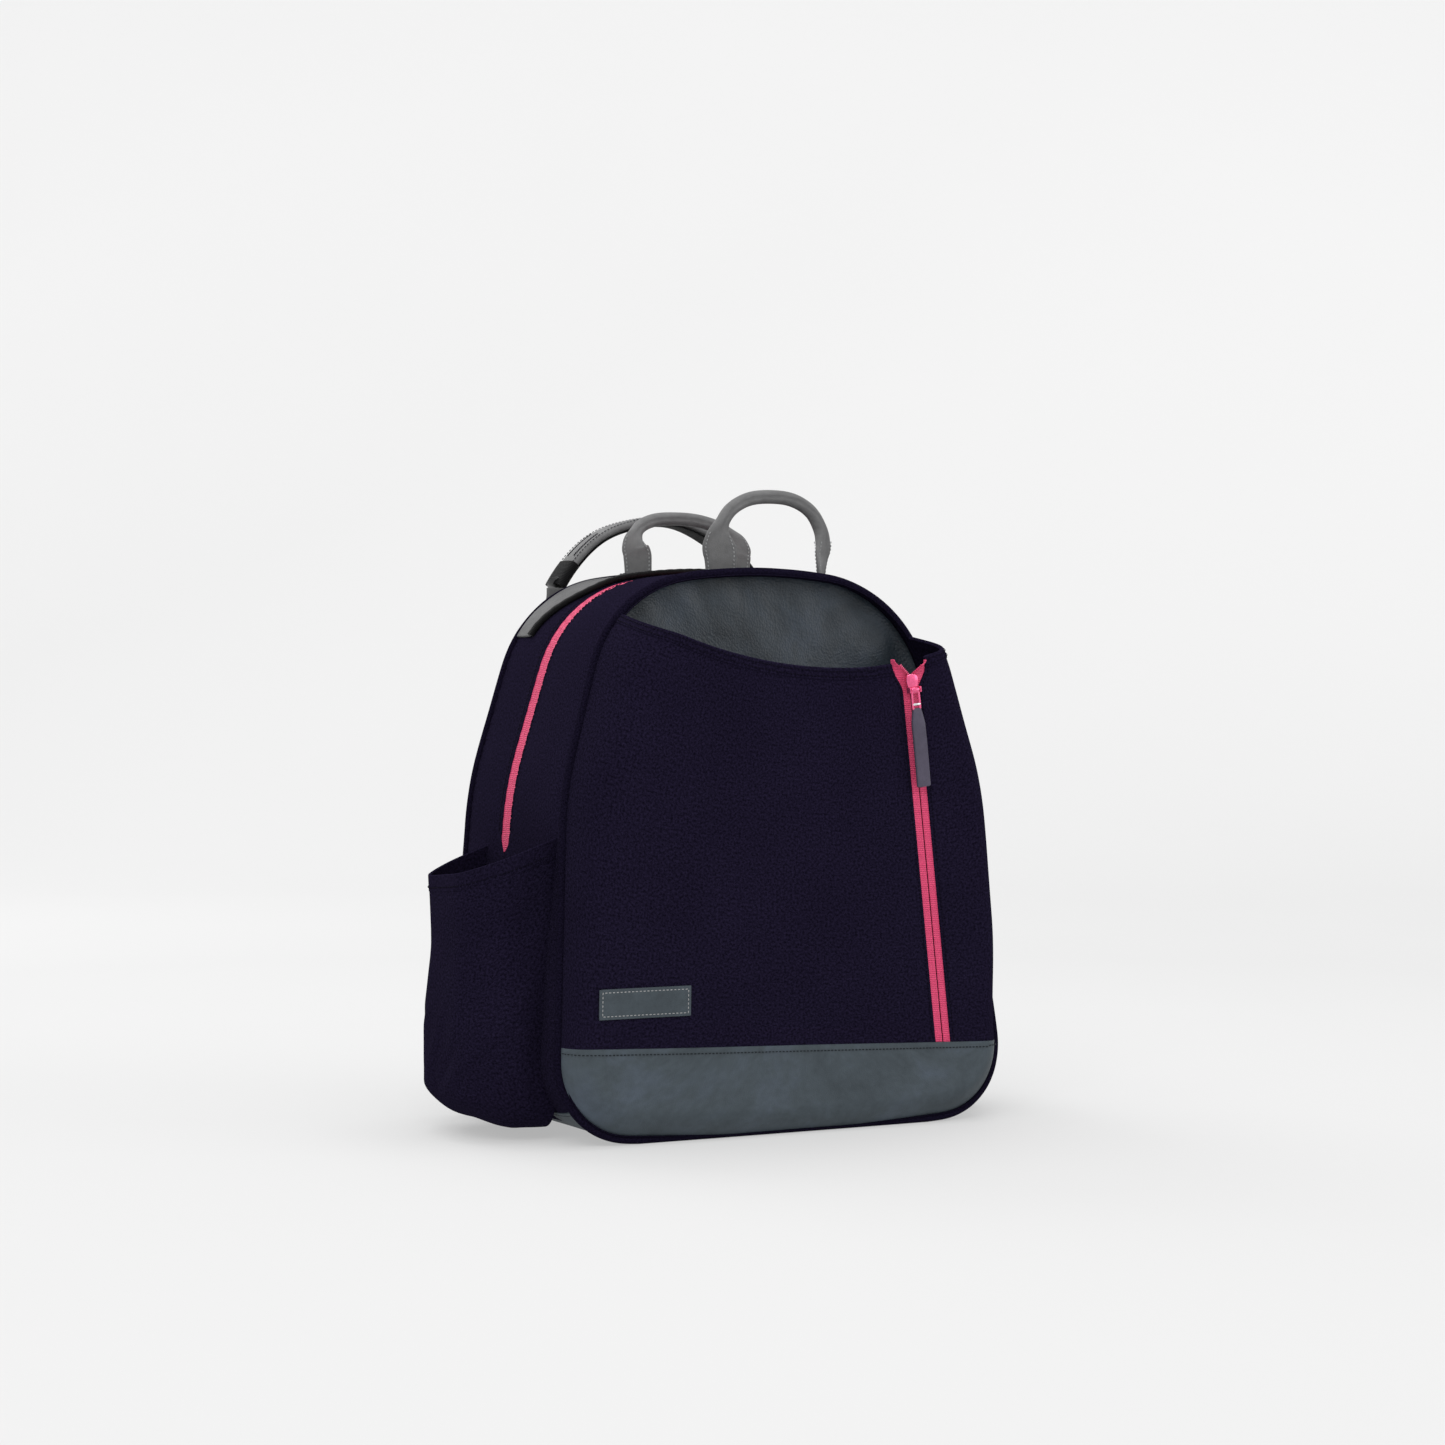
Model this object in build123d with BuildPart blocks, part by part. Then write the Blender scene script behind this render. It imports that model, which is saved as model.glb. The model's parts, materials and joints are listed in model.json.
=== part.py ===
"""Racket backpack: a soft bag with a racket pocket on its front, as separate pieces in millimetres.

+Z is up, the front of the bag faces -Y, the wearer's back is at +Y.
The origin is the middle of the flat underside that the bag stands on.
"""
import math
import os
from build123d import *

# ---- driving dimensions --------------------------------------------------------------------
BACK_Y = 105.0            # outer face of the back panel
FRONT_FOOT_Y = -105.0     # front seam at floor level
FRONT_LEAN = 0.12         # the front seam leans back this much for each mm of height
TOP_Z = 431.0             # crown of the bag

SHOULDER_X, SHOULDER_Z = 124.0, 415.0
WAIST_X, WAIST_Z = 172.0, 262.0
FOOT_X, FOOT_Z = 193.0, 8.0
REST_HALF_WIDTH = 60.0    # half the width of the flat strip that the bag stands on
SHOULDER_R, WAIST_R, FOOT_R, CROWN_R, REST_R = 100.0, 260.0, 55.0, 450.0, 300.0

WALL = 3.0                # cloth and its lining
PIPING = 3.0              # how far the corded edge stands out
BASE_WRAP_Z = 20.0        # the leather base wraps up to here

ZIP_Y = 30.0              # middle of the main zip, round the bag's sides and crown
ZIP_HALF = 8.0            # half the width of the opening that shows the zip tape
ZIP_SLIT = 0.3            # half the slit between two tape edges
TAPE_SINK, TAPE_THICK = 0.4, 1.2
COIL_WIDE, COIL_THICK = 2.5, 2.2

FOLD_Z = 212.0            # both ends of the main zip, which the front folds about
FOLD_OPEN_DEG = 25.0      # how far the front falls open
FOLD_HALF_DEG = FOLD_OPEN_DEG / 2 + 0.4

WALL_SET_BACK = 9.0       # the front wall stands this far behind the front seam
YOKE_Z = 335.0            # the leather yoke fills the front wall above this

POCKET_FOOT = 14.0        # how far the racket pocket stands forward at floor level
POCKET_FLARE = 0.13       # how much further forward for each mm of height
POCKET_WALL = 2.5
# forward fraction, inset of the outline, sideways shift of the outline
POCKET_SECTIONS = [
    (0.0, 0.0, 0.0), (0.45, 1.5, 1.0), (0.8, 6.0, 3.0), (0.95, 13.0, 3.0), (1.0, 22.0, 3.0),
]
BINDING_DEEP = 8.0        # the hem round the pocket's mouth
MOUTH_LEFT, MOUTH_SAG = (-160.0, 412.0), (-62.0, 370.0)
MOUTH_LOW, MOUTH_RIGHT = (45.0, 353.0), (160.0, 381.0)
SEAM_MIDDLE_Z, SEAM_SLOPE = 68.0, -0.035   # seam between the pocket's cloth and its leather foot
LABEL_X, LABEL_Z, LABEL_WIDE, LABEL_HIGH, LABEL_THICK = -129.0, 107.0, 74.0, 22.0, 1.5
ZIP_TOP = (96.0, 352.0)   # front zip, (x, z)
ZIP_FOOT = (129.0, 66.0)
FRONT_ZIP_HALF = 7.5

SLIDER_LONG, SLIDER_WIDE, SLIDER_HIGH = 15.0, 11.0, 3.4
SLIDER_GAP = 0.5
PIN_R, PIN_BORE_R, EYE_R = 1.0, 1.3, 1.95
LUG_LONG, LUG_WIDE, LUG_HIGH, LUG_OUT = 4.5, 1.4, 4.0, 4.6
PULL_LONG, PULL_WIDE, PULL_THICK = 34.0, 7.4, 2.6
PULL_PIVOT = SLIDER_GAP + SLIDER_HIGH + 2.2     # height of the pin above the zip
LOOP_LONG, LOOP_WIRE = 16.0, 1.3
TAB_LONG, TAB_WIDE, TAB_THICK, TAB_NECK = 62.0, 10.5, 4.0, 2.8
TAB_SWINGS_AT = LOOP_LONG - 0.7                 # from the pin, along the wire loop
FRONT_SLIDER_Z = 337.0
SIDE_SLIDER_UP = 83.7     # distance of the parked side slider above the waist corner
TOP_SLIDER_TURN = 8.0     # degrees up the shoulder arc where the other slider is parked

HANDLE_R = 5.0
HANDLE_SPAN = 104.0
FRONT_HANDLE_RISE, FRONT_HANDLE_BEND_R = 51.0, 41.0
REAR_HANDLE_RISE, REAR_HANDLE_BEND_R = 46.0, 35.0
HANDLE_SPREAD = 4.0       # how far each side of the arch leans out at its top
FRONT_HANDLE_X, FRONT_HANDLE_Y = 22.0, -36.0
REAR_HANDLE_X, REAR_HANDLE_Y = 0.0, 64.0
FOOT_PLATE = 2.5

LOOP_Y, LOOP_WIDE, LOOP_THICK = 122.0, 28.0, 8.0
LOOP_FOOT_X, LOOP_FOOT_Z, LOOP_TOP_Z = 90.0, 418.0, 473.0

REACH = 480.0             # larger than the bag, for cutting shapes


# ---- shared shapes ---------------------------------------------------------------------------
def bag_outline(inset=0.0, stretch=1.0):
    """The bag's outline seen from the front, x across and z up, as a face in its own plane."""
    half = [(REST_HALF_WIDTH, 0.0), (FOOT_X, FOOT_Z), (WAIST_X, WAIST_Z), (SHOULDER_X, SHOULDER_Z)]
    corners = half + [(0.0, TOP_Z)] + [(-x, z) for x, z in reversed(half)]
    radii = [REST_R, FOOT_R, WAIST_R, SHOULDER_R, CROWN_R, SHOULDER_R, WAIST_R, FOOT_R, REST_R]
    with BuildSketch() as face:
        with BuildLine():
            FilletPolyline(*[(x, z * stretch) for x, z in corners], radius=radii, close=True)
        make_face()
        if inset:
            offset(amount=-inset)
    return face.sketch


def side_prism(*corners):
    """A prism right across the bag, from corners given as (y, z)."""
    with BuildPart() as prism:
        with BuildSketch(Plane.YZ.offset(-REACH / 2)):
            with BuildLine():
                Polyline(*corners, close=True)
            make_face()
        extrude(amount=REACH)
    return prism.part


def front_prism(*corners):
    """A prism right through the bag from front to back, from corners given as (x, z)."""
    with BuildPart() as prism:
        with BuildSketch(Plane.XZ.offset(-REACH / 2)):
            with BuildLine():
                Polyline(*corners, close=True)
            make_face()
        extrude(amount=REACH)
    return prism.part


def outline_band(outer, inner, region):
    """A band that follows the outline, between two insets, inside a region."""
    with BuildPart() as band:
        with BuildSketch(Plane.XZ.offset(-REACH / 2)):
            add(bag_outline(outer))
            add(bag_outline(inner), mode=Mode.SUBTRACT)
        extrude(amount=REACH)
        add(region, mode=Mode.INTERSECT)
    return band.part


def outline_plate(inset, region):
    """A plate that fills the outline, inside a region."""
    with BuildPart() as plate:
        with BuildSketch(Plane.XZ.offset(-REACH / 2)):
            add(bag_outline(inset))
        extrude(amount=REACH)
        add(region, mode=Mode.INTERSECT)
    return plate.part


def front_y(z, behind=0.0):
    """Depth of the front seam at a height."""
    return FRONT_FOOT_Y + FRONT_LEAN * z + behind


def fold_z(y, side):
    """Height of the fold's upper (side 1) or lower (side -1) boundary at a depth."""
    return FOLD_Z + side * (ZIP_Y - y) * math.tan(math.radians(FOLD_HALF_DEG))


def seam_on_fold(side, behind=0.0):
    """Where the front seam, or a plane behind it, meets a boundary of the fold, as (y, z)."""
    slope = side * math.tan(math.radians(FOLD_HALF_DEG))
    y = (front_y(FOLD_Z, behind) + FRONT_LEAN * slope * ZIP_Y) / (1 + FRONT_LEAN * slope)
    return y, fold_z(y, side)


def pocket_plane(fraction, wall=0.0):
    """A plane of the racket pocket, from the front seam (0) to the flat front (1)."""
    lean = FRONT_LEAN - POCKET_FLARE * fraction
    angle = math.atan(lean)
    return Plane(
        origin=(0, FRONT_FOOT_Y - (POCKET_FOOT - wall) * fraction, 0),
        x_dir=(1, 0, 0),
        z_dir=(0, -math.cos(angle), math.sin(angle)),
    )


def pocket_solid(wall):
    """The racket pocket's outer form, or with a wall given, the hollow inside it."""
    with BuildPart() as form:
        for fraction, inset, shift in POCKET_SECTIONS:
            plane = pocket_plane(fraction, wall)
            with BuildSketch(plane):
                with Locations((shift, 0)):
                    add(bag_outline(inset + wall, 1 / abs(plane.z_dir.Y)))
        loft(ruled=True)
    return form.part


def seam_z(x):
    """Height of the seam between the pocket's cloth and its leather foot."""
    return SEAM_MIDDLE_Z + SEAM_SLOPE * x


def zip_x(z):
    """Middle of the front zip at a height."""
    part = (z - ZIP_FOOT[1]) / (ZIP_TOP[1] - ZIP_FOOT[1])
    return ZIP_FOOT[0] + part * (ZIP_TOP[0] - ZIP_FOOT[0])


def zip_strip(near, far):
    """A strip along the front zip, between two distances to the right of its middle."""
    low, high = -20.0, REACH
    corners = [(zip_x(low) + near, low), (zip_x(high) + near, high)]
    corners += [(zip_x(high) + far, high), (zip_x(low) + far, low)]
    return front_prism(*corners)


def cut(solid, *regions):
    """What is left of a solid inside every region."""
    with BuildPart() as piece:
        add(solid)
        for region in regions:
            add(region, mode=Mode.INTERSECT)
    return piece


def group(*members):
    """Several separate solids that share one node."""
    with BuildPart() as together:
        for member in members:
            add(member.part)
    return together


# ---- regions, as (y, z) ----------------------------------------------------------------------
upper_seam = seam_on_fold(1)
lower_seam = seam_on_fold(-1)
far_front = FRONT_FOOT_Y - 60
apex = (ZIP_Y, FOLD_Z)
above_fold = side_prism(apex, (far_front, fold_z(far_front, 1)), (far_front, REACH), (ZIP_Y, REACH))
in_fold = side_prism(apex, (far_front, fold_z(far_front, 1)), (far_front, fold_z(far_front, -1)))
below_fold = side_prism(
    (far_front, -20), (ZIP_Y, -20), (ZIP_Y, FOLD_Z), (far_front, fold_z(far_front, -1))
)
right_half = front_prism((0, -20), (REACH, -20), (REACH, REACH), (0, REACH))
left_half = front_prism((0, -20), (-REACH, -20), (-REACH, REACH), (0, REACH))
behind_seam = side_prism(
    (front_y(-20), -20), (BACK_Y - WALL, -20), (BACK_Y - WALL, REACH), (front_y(REACH), REACH)
)
wall_slab = side_prism(
    (front_y(0, WALL_SET_BACK), 0), (front_y(0, WALL_SET_BACK + WALL), 0),
    (front_y(REACH, WALL_SET_BACK + WALL), REACH), (front_y(REACH, WALL_SET_BACK), REACH),
)
tape_near, tape_far = ZIP_Y - ZIP_HALF, ZIP_Y + ZIP_HALF

# ---- base, sides and back --------------------------------------------------------------------
base_region = side_prism(
    (front_y(-20), -20), (BACK_Y - WALL, -20),
    (BACK_Y - WALL, BASE_WRAP_Z), (front_y(BASE_WRAP_Z), BASE_WRAP_Z),
)
base_panel = cut(outline_band(0, WALL, base_region))
side_region = side_prism(
    (front_y(BASE_WRAP_Z), BASE_WRAP_Z), (BACK_Y - WALL, BASE_WRAP_Z),
    (BACK_Y - WALL, FOLD_Z), apex, lower_seam,
)
side_panel_left = cut(outline_band(0, WALL, side_region), left_half)
side_panel_right = cut(outline_band(0, WALL, side_region), right_half)

rear_gusset = cut(
    outline_band(0, WALL, side_prism(
        (tape_far, FOLD_Z), (BACK_Y - WALL, FOLD_Z), (BACK_Y - WALL, REACH), (tape_far, REACH)
    ))
)
front_gusset = cut(
    outline_band(0, WALL, side_prism(
        (tape_near, fold_z(tape_near, 1)), (tape_near, REACH), (front_y(REACH), REACH), upper_seam
    ))
)
back_panel = cut(
    outline_plate(0, side_prism(
        (BACK_Y - WALL, -20), (BACK_Y, -20), (BACK_Y, REACH), (BACK_Y - WALL, REACH)
    ))
)
back_board = cut(
    outline_plate(9, side_prism(
        (BACK_Y - WALL - 4, 14), (BACK_Y - WALL, 14), (BACK_Y - WALL, 395), (BACK_Y - WALL - 4, 395)
    ))
)
base_board = cut(
    outline_plate(WALL, side_prism((-88, 0), (BACK_Y - WALL - 5, 0), (BACK_Y - WALL - 5, 6), (-88, 6))),
    front_prism((-110, 0), (110, 0), (110, 6), (-110, 6)),
)
rear_piping = cut(
    outline_band(-PIPING, 0, side_prism(
        (BACK_Y - 5, 0.2), (BACK_Y, 0.2), (BACK_Y, REACH), (BACK_Y - 5, REACH)
    ))
)

# the padded sleeve for a laptop, open at its top
with BuildPart() as laptop_sleeve:
    with BuildSketch(Plane.XY.offset(9)):
        with Locations((0, 87)):
            Rectangle(270, 22)
        with Locations((0, 89)):
            Rectangle(264, 18, mode=Mode.SUBTRACT)
    extrude(amount=251)
    with BuildSketch(Plane.XY.offset(9)):
        with Locations((0, 87)):
            Rectangle(270, 22)
    extrude(amount=3)

# three foam pads on the back
back_pads = {}
for name, x, z, wide, high in (
    ("back_pad_left", -68, 238, 100, 220),
    ("back_pad_right", 68, 238, 100, 220),
    ("lumbar_pad", 0, 74, 220, 76),
):
    with BuildPart() as pad:
        with BuildSketch(Plane.XZ.offset(-BACK_Y)):
            with Locations((x, z)):
                RectangleRounded(wide, high, 18)
        extrude(amount=-12)
        chamfer(pad.faces().sort_by(Axis.Y)[-1].edges(), 5)
    back_pads[name] = pad

# ---- main zip --------------------------------------------------------------------------------
tape_inset = (TAPE_SINK, TAPE_SINK + TAPE_THICK)
coil_inset = (tape_inset[1], tape_inset[1] + COIL_THICK)


def zip_side(y_edge, toward, insets, wide, low):
    """One tape or coil of the main zip: a band from the slit edge, over the crown."""
    y_other = y_edge + toward * wide
    strip = side_prism((y_edge, low(y_edge)), (y_other, low(y_other)), (y_other, REACH), (y_edge, REACH))
    return outline_band(*insets, strip)


def rear_end(y, above=0.0):
    """Height of the rear tape's ends."""
    return FOLD_Z + above


def front_end(y, above=0.0):
    """Height of the front tape's ends, which lie on the fold's upper boundary."""
    return fold_z(y, 1) + above


def rear_coil_end(y):
    """Height of the rear coil's ends."""
    return rear_end(y, 2.0)


def front_coil_end(y):
    """Height of the front coil's ends."""
    return front_end(y, 2.0)


tape_wide = ZIP_HALF - ZIP_SLIT
main_zip_tape_rear = cut(zip_side(ZIP_Y + ZIP_SLIT, 1, tape_inset, tape_wide, rear_end))
main_zip_coil_rear = cut(zip_side(ZIP_Y + ZIP_SLIT, 1, coil_inset, COIL_WIDE, rear_coil_end))
main_zip_tape_front = cut(zip_side(ZIP_Y - ZIP_SLIT, -1, tape_inset, tape_wide, front_end))
main_zip_coil_front = cut(zip_side(ZIP_Y - ZIP_SLIT, -1, coil_inset, COIL_WIDE, front_coil_end))


# ---- front seam, front wall and the cloth that folds -------------------------------------------
def seam_region(*ends):
    """The band just behind the front seam, between two heights given on that seam as (y, z)."""
    (low_y, low_z), (high_y, high_z) = ends
    return side_prism((low_y, low_z), (low_y + 5, low_z), (high_y + 5, high_z), (high_y, high_z))


front_piping_lower = cut(
    outline_band(-PIPING, 0, seam_region((front_y(0.2), 0.2), lower_seam)), below_fold
)
front_piping_upper = cut(
    outline_band(-PIPING, 0, seam_region(lower_seam, (front_y(REACH), REACH))), above_fold
)
over_board = side_prism((-REACH, 6), (REACH, 6), (REACH, REACH), (-REACH, REACH))
under_yoke = side_prism((-REACH, 0), (REACH, 0), (REACH, YOKE_Z), (-REACH, YOKE_Z))
over_yoke = side_prism((-REACH, YOKE_Z), (REACH, YOKE_Z), (REACH, REACH), (-REACH, REACH))
front_wall_lower = cut(outline_plate(WALL, wall_slab), below_fold, over_board)
front_wall_upper = cut(outline_plate(WALL, wall_slab), above_fold, under_yoke)
front_yoke = cut(outline_plate(WALL, wall_slab), over_yoke)
fold_parts = cut(outline_band(0, WALL, behind_seam), in_fold)
fold_wall = cut(outline_plate(WALL, wall_slab), in_fold)
fold_piping = cut(
    outline_band(-PIPING, 0, seam_region((front_y(100), 100), (front_y(300), 300))),
    in_fold,
)
front_fold = group(fold_parts, fold_wall, fold_piping)

# ---- racket pocket -----------------------------------------------------------------------------
with BuildPart() as below_mouth:
    with BuildSketch(Plane.XZ.offset(-REACH / 2)):
        with BuildLine():
            sag = ThreePointArc(MOUTH_LEFT, MOUTH_SAG, MOUTH_LOW)
            TangentArc(MOUTH_LOW, MOUTH_RIGHT, tangent=sag % 1)
            Polyline(
                MOUTH_RIGHT, (REACH, MOUTH_RIGHT[1]), (REACH, -30),
                (-REACH, -30), (-REACH, MOUTH_LEFT[1]), MOUTH_LEFT,
            )
        make_face()
    extrude(amount=REACH)
with BuildPart() as below_binding:
    add(below_mouth.part.moved(Location((0, 0, -BINDING_DEEP))))

with BuildPart() as pocket_shell:
    add(pocket_solid(0.0))
    add(pocket_solid(POCKET_WALL), mode=Mode.SUBTRACT)
    add(below_mouth.part, mode=Mode.INTERSECT)

seam_ends = [(-REACH, seam_z(-REACH)), (REACH, seam_z(REACH))]
above_seam = front_prism(*seam_ends, (REACH, REACH), (-REACH, REACH))
below_seam = front_prism(*seam_ends, (REACH, -20), (-REACH, -20))
left_of_zip = zip_strip(-REACH, -FRONT_ZIP_HALF)
right_of_zip = zip_strip(FRONT_ZIP_HALF, REACH)
left_tape = zip_strip(-FRONT_ZIP_HALF, -ZIP_SLIT)
right_tape = zip_strip(ZIP_SLIT, FRONT_ZIP_HALF)

bottom_band = cut(pocket_shell.part, below_seam)
pocket_cloth = cut(pocket_shell.part, above_seam)
pocket_lower_left = cut(pocket_cloth.part, below_fold, left_of_zip)
pocket_lower_right = cut(pocket_cloth.part, below_fold, right_of_zip)
pocket_body = cut(pocket_cloth.part, below_binding.part)
pocket_upper_left = cut(pocket_body.part, above_fold, left_of_zip)
pocket_upper_right = cut(pocket_body.part, above_fold, right_of_zip)
with BuildPart() as mouth_edge:
    add(pocket_cloth.part)
    add(below_binding.part, mode=Mode.SUBTRACT)
mouth_binding = group(cut(mouth_edge.part, left_of_zip), cut(mouth_edge.part, right_of_zip))
pocket_fold = group(*[
    cut(pocket_cloth.part, in_fold, strip) for strip in (left_of_zip, left_tape, right_tape, right_of_zip)
])
pocket_zip_lower = group(*[cut(pocket_cloth.part, below_fold, tape) for tape in (left_tape, right_tape)])
pocket_zip_upper = group(*[cut(pocket_cloth.part, above_fold, tape) for tape in (left_tape, right_tape)])

front_face = pocket_plane(1.0)
with BuildPart() as label_patch:
    with BuildSketch(front_face):
        with Locations((LABEL_X, LABEL_Z)):
            RectangleRounded(LABEL_WIDE, LABEL_HIGH, 2)
    extrude(amount=LABEL_THICK)


# ---- zip sliders and their pulls -----------------------------------------------------------------
def slider_frame(point, along, out):
    """A plane on the zip with x along the zip and z out of the cloth."""
    return Plane(origin=point, x_dir=along, z_dir=out)


def slider_on(frame):
    """A zip slider with two lugs and the pin that its pull swings on."""
    with BuildPart() as slider:
        with BuildSketch(frame.offset(SLIDER_GAP)):
            RectangleRounded(SLIDER_LONG, SLIDER_WIDE, 3)
        extrude(amount=SLIDER_HIGH)
        with BuildSketch(frame.offset(SLIDER_GAP + SLIDER_HIGH)):
            with Locations((0, LUG_OUT), (0, -LUG_OUT)):
                Rectangle(LUG_LONG, LUG_WIDE)
        extrude(amount=LUG_HIGH)
        pin_plane = Plane(origin=frame.from_local_coords((0, -LUG_OUT, PULL_PIVOT)), z_dir=frame.y_dir)
        with BuildSketch(pin_plane):
            Circle(PIN_R)
        extrude(amount=2 * LUG_OUT)
    return slider


def pull_on(frame, way, long, wide):
    """A pull with an eye round the slider's pin, lying along the zip: way is 1 or -1."""
    eye_start = frame.from_local_coords((0, -wide / 2, PULL_PIVOT))
    with BuildPart() as pull:
        with BuildSketch(Plane(origin=eye_start, x_dir=frame.x_dir * way, z_dir=frame.y_dir)):
            Circle(EYE_R)
            with Locations((long / 2, 0)):
                Rectangle(long, PULL_THICK)
            Circle(PIN_BORE_R, mode=Mode.SUBTRACT)
        extrude(amount=wide)
    return pull


zip_along = (Vector(ZIP_TOP[0], 0, ZIP_TOP[1]) - Vector(ZIP_FOOT[0], 0, ZIP_FOOT[1])).normalized()
front_slider_at = front_face.from_local_coords((zip_x(FRONT_SLIDER_Z), FRONT_SLIDER_Z, 0))
front_frame = slider_frame(front_slider_at, zip_along, front_face.z_dir)
pocket_slider = slider_on(front_frame)

loop_plane = front_frame.offset(PULL_PIVOT)
eye_start = loop_plane.from_local_coords((0, -PULL_WIDE / 2, 0))
with BuildPart() as pocket_pull_loop:
    with BuildSketch(Plane(origin=eye_start, x_dir=front_frame.x_dir, z_dir=front_frame.y_dir)):
        Circle(EYE_R)
        Circle(PIN_BORE_R, mode=Mode.SUBTRACT)
    extrude(amount=PULL_WIDE)
    with BuildSketch(loop_plane.offset(-LOOP_WIRE)):
        with Locations((-LOOP_LONG / 2 - 0.9, 0)):
            RectangleRounded(LOOP_LONG - 1.5, PULL_WIDE, 2)
            RectangleRounded(LOOP_LONG - 6, 3.6, 1.2, mode=Mode.SUBTRACT)
    extrude(amount=2 * LOOP_WIRE)

tab_neck_x, tab_shoulder_x, tab_end_x = -LOOP_LONG - 1.6, -LOOP_LONG - 12, -LOOP_LONG - TAB_LONG
with BuildPart() as pocket_pull_tab:
    with BuildSketch(loop_plane.offset(-TAB_THICK / 2)):
        with BuildLine():
            Polyline(
                (tab_neck_x, TAB_NECK), (tab_shoulder_x, TAB_WIDE / 2), (tab_end_x, TAB_WIDE / 2),
                (tab_end_x, -TAB_WIDE / 2), (tab_shoulder_x, -TAB_WIDE / 2), (tab_neck_x, -TAB_NECK),
                close=True,
            )
        make_face()
    extrude(amount=TAB_THICK)

# the side slider runs on the straight stretch between waist and shoulder, at the right
side_along = (Vector(SHOULDER_X, 0, SHOULDER_Z) - Vector(WAIST_X, 0, WAIST_Z)).normalized()
side_out = Vector(side_along.Z, 0, -side_along.X)
side_at = Vector(WAIST_X, ZIP_Y, WAIST_Z) + side_along * SIDE_SLIDER_UP
side_frame = slider_frame(side_at, side_along, side_out)
side_slider = slider_on(side_frame)
side_pull = pull_on(side_frame, -1, PULL_LONG, PULL_WIDE)

# the top slider turns about the centre of the shoulder's arc
corner = Vector(SHOULDER_X, 0, SHOULDER_Z)
to_crown = (Vector(0, 0, TOP_Z) - corner).normalized()
half_angle = math.radians(to_crown.get_angle(side_along * -1)) / 2
bisector = (to_crown - side_along).normalized()
arc_centre = corner + bisector * (SHOULDER_R / math.sin(half_angle))
start_angle = math.degrees(math.atan2(side_out.Z, side_out.X)) + TOP_SLIDER_TURN
top_out = Vector(math.cos(math.radians(start_angle)), 0, math.sin(math.radians(start_angle)))
top_along = Vector(-top_out.Z, 0, top_out.X)
top_at = arc_centre + top_out * SHOULDER_R + Vector(0, ZIP_Y, 0)
top_frame = slider_frame(top_at, top_along, top_out)
top_slider = slider_on(top_frame)
top_pull = pull_on(top_frame, 1, PULL_LONG, PULL_WIDE)


# ---- carry handles ---------------------------------------------------------------------------
def handle_on(x, y, base, rise, bend):
    """A rolled handle standing on two feet: the arch, and its pair of foot plates."""
    axis_z = base + FOOT_PLATE + HANDLE_R + 0.6
    foot = HANDLE_SPAN / 2 - 6
    wide = HANDLE_SPAN / 2 + HANDLE_SPREAD
    with BuildPart() as arch:
        with BuildLine():
            route = FilletPolyline(
                (x - foot, y, axis_z), (x - wide, y, axis_z + rise),
                (x + wide, y, axis_z + rise), (x + foot, y, axis_z), radius=bend,
            )
        with BuildSketch(Plane(origin=route @ 0, z_dir=route % 0)):
            Circle(HANDLE_R)
        sweep()
        with Locations((x - foot, y, axis_z), (x + foot, y, axis_z)):
            Sphere(HANDLE_R)
    return arch, axis_z, foot


def feet_under(x, y, foot, inset, wide, deep):
    """Foot plates sewn on the crown under a handle's two ends."""
    band = outline_band(inset - FOOT_PLATE, inset, side_prism(
        (y - deep / 2, 300), (y + deep / 2, 300), (y + deep / 2, REACH), (y - deep / 2, REACH)))
    with BuildPart() as feet:
        add(band)
        with BuildPart(mode=Mode.PRIVATE) as places:
            with Locations((x - foot, y, TOP_Z), (x + foot, y, TOP_Z)):
                Box(wide, deep, 120)
        add(places.part, mode=Mode.INTERSECT)
    return feet


front_handle, front_axis_z, front_foot = handle_on(
    FRONT_HANDLE_X, FRONT_HANDLE_Y, TOP_Z - 3.0, FRONT_HANDLE_RISE, FRONT_HANDLE_BEND_R
)
front_handle_feet = feet_under(FRONT_HANDLE_X, FRONT_HANDLE_Y, front_foot, 0.0, 26, 20)
rear_handle, rear_axis_z, rear_foot = handle_on(
    REAR_HANDLE_X, REAR_HANDLE_Y, TOP_Z + 0.5, REAR_HANDLE_RISE, REAR_HANDLE_BEND_R
)
rear_handle_feet = feet_under(REAR_HANDLE_X, REAR_HANDLE_Y, rear_foot, -2.5, 26, 24)

# ---- leather yoke over the rear edge -------------------------------------------------------------
YOKE_HALF = 132.0
strap_yoke = cut(
    outline_band(-2.5, 0, side_prism((44, 300), (BACK_Y - 5.2, 300), (BACK_Y - 5.2, REACH), (44, REACH))),
    front_prism((-YOKE_HALF, 200), (YOKE_HALF, 200), (YOKE_HALF, REACH), (-YOKE_HALF, REACH)),
)
back_yoke = cut(
    outline_plate(
        4,
        side_prism((BACK_Y, 362), (BACK_Y + 2.5, 362), (BACK_Y + 2.5, REACH), (BACK_Y, REACH)),
    ),
    front_prism((-112, 300), (112, 300), (112, REACH), (-112, REACH)),
)

# ---- top loop: the padded strap that arches from one strap ring to the other -----------------------
with BuildPart() as top_loop:
    with BuildSketch(Plane.XZ.offset(-(LOOP_Y + LOOP_WIDE / 2))):
        with BuildLine() as loop_line:
            ThreePointArc((-LOOP_FOOT_X, LOOP_FOOT_Z), (0, LOOP_TOP_Z), (LOOP_FOOT_X, LOOP_FOOT_Z))
        trace(loop_line.line, line_width=LOOP_THICK)
    extrude(amount=LOOP_WIDE)

# ---- shoulder straps -----------------------------------------------------------------------------
# x, y, z of the strap's middle, its width there
STRAP_STATIONS = [
    (88, 124, 386, 36), (85, 141, 350, 46), (88, 155, 290, 50),
    (99, 156, 225, 48), (114, 146, 168, 40), (124, 138, 142, 32),
]
STRAP_THICK = 9.0
RING_X = 88.0
WEB_WIDE, WEB_THICK, WEB_GAP = 25.0, 2.0, 1.8
WEB_FOOT = (149, 118, 44)
RING_Z = 399.0


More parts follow.
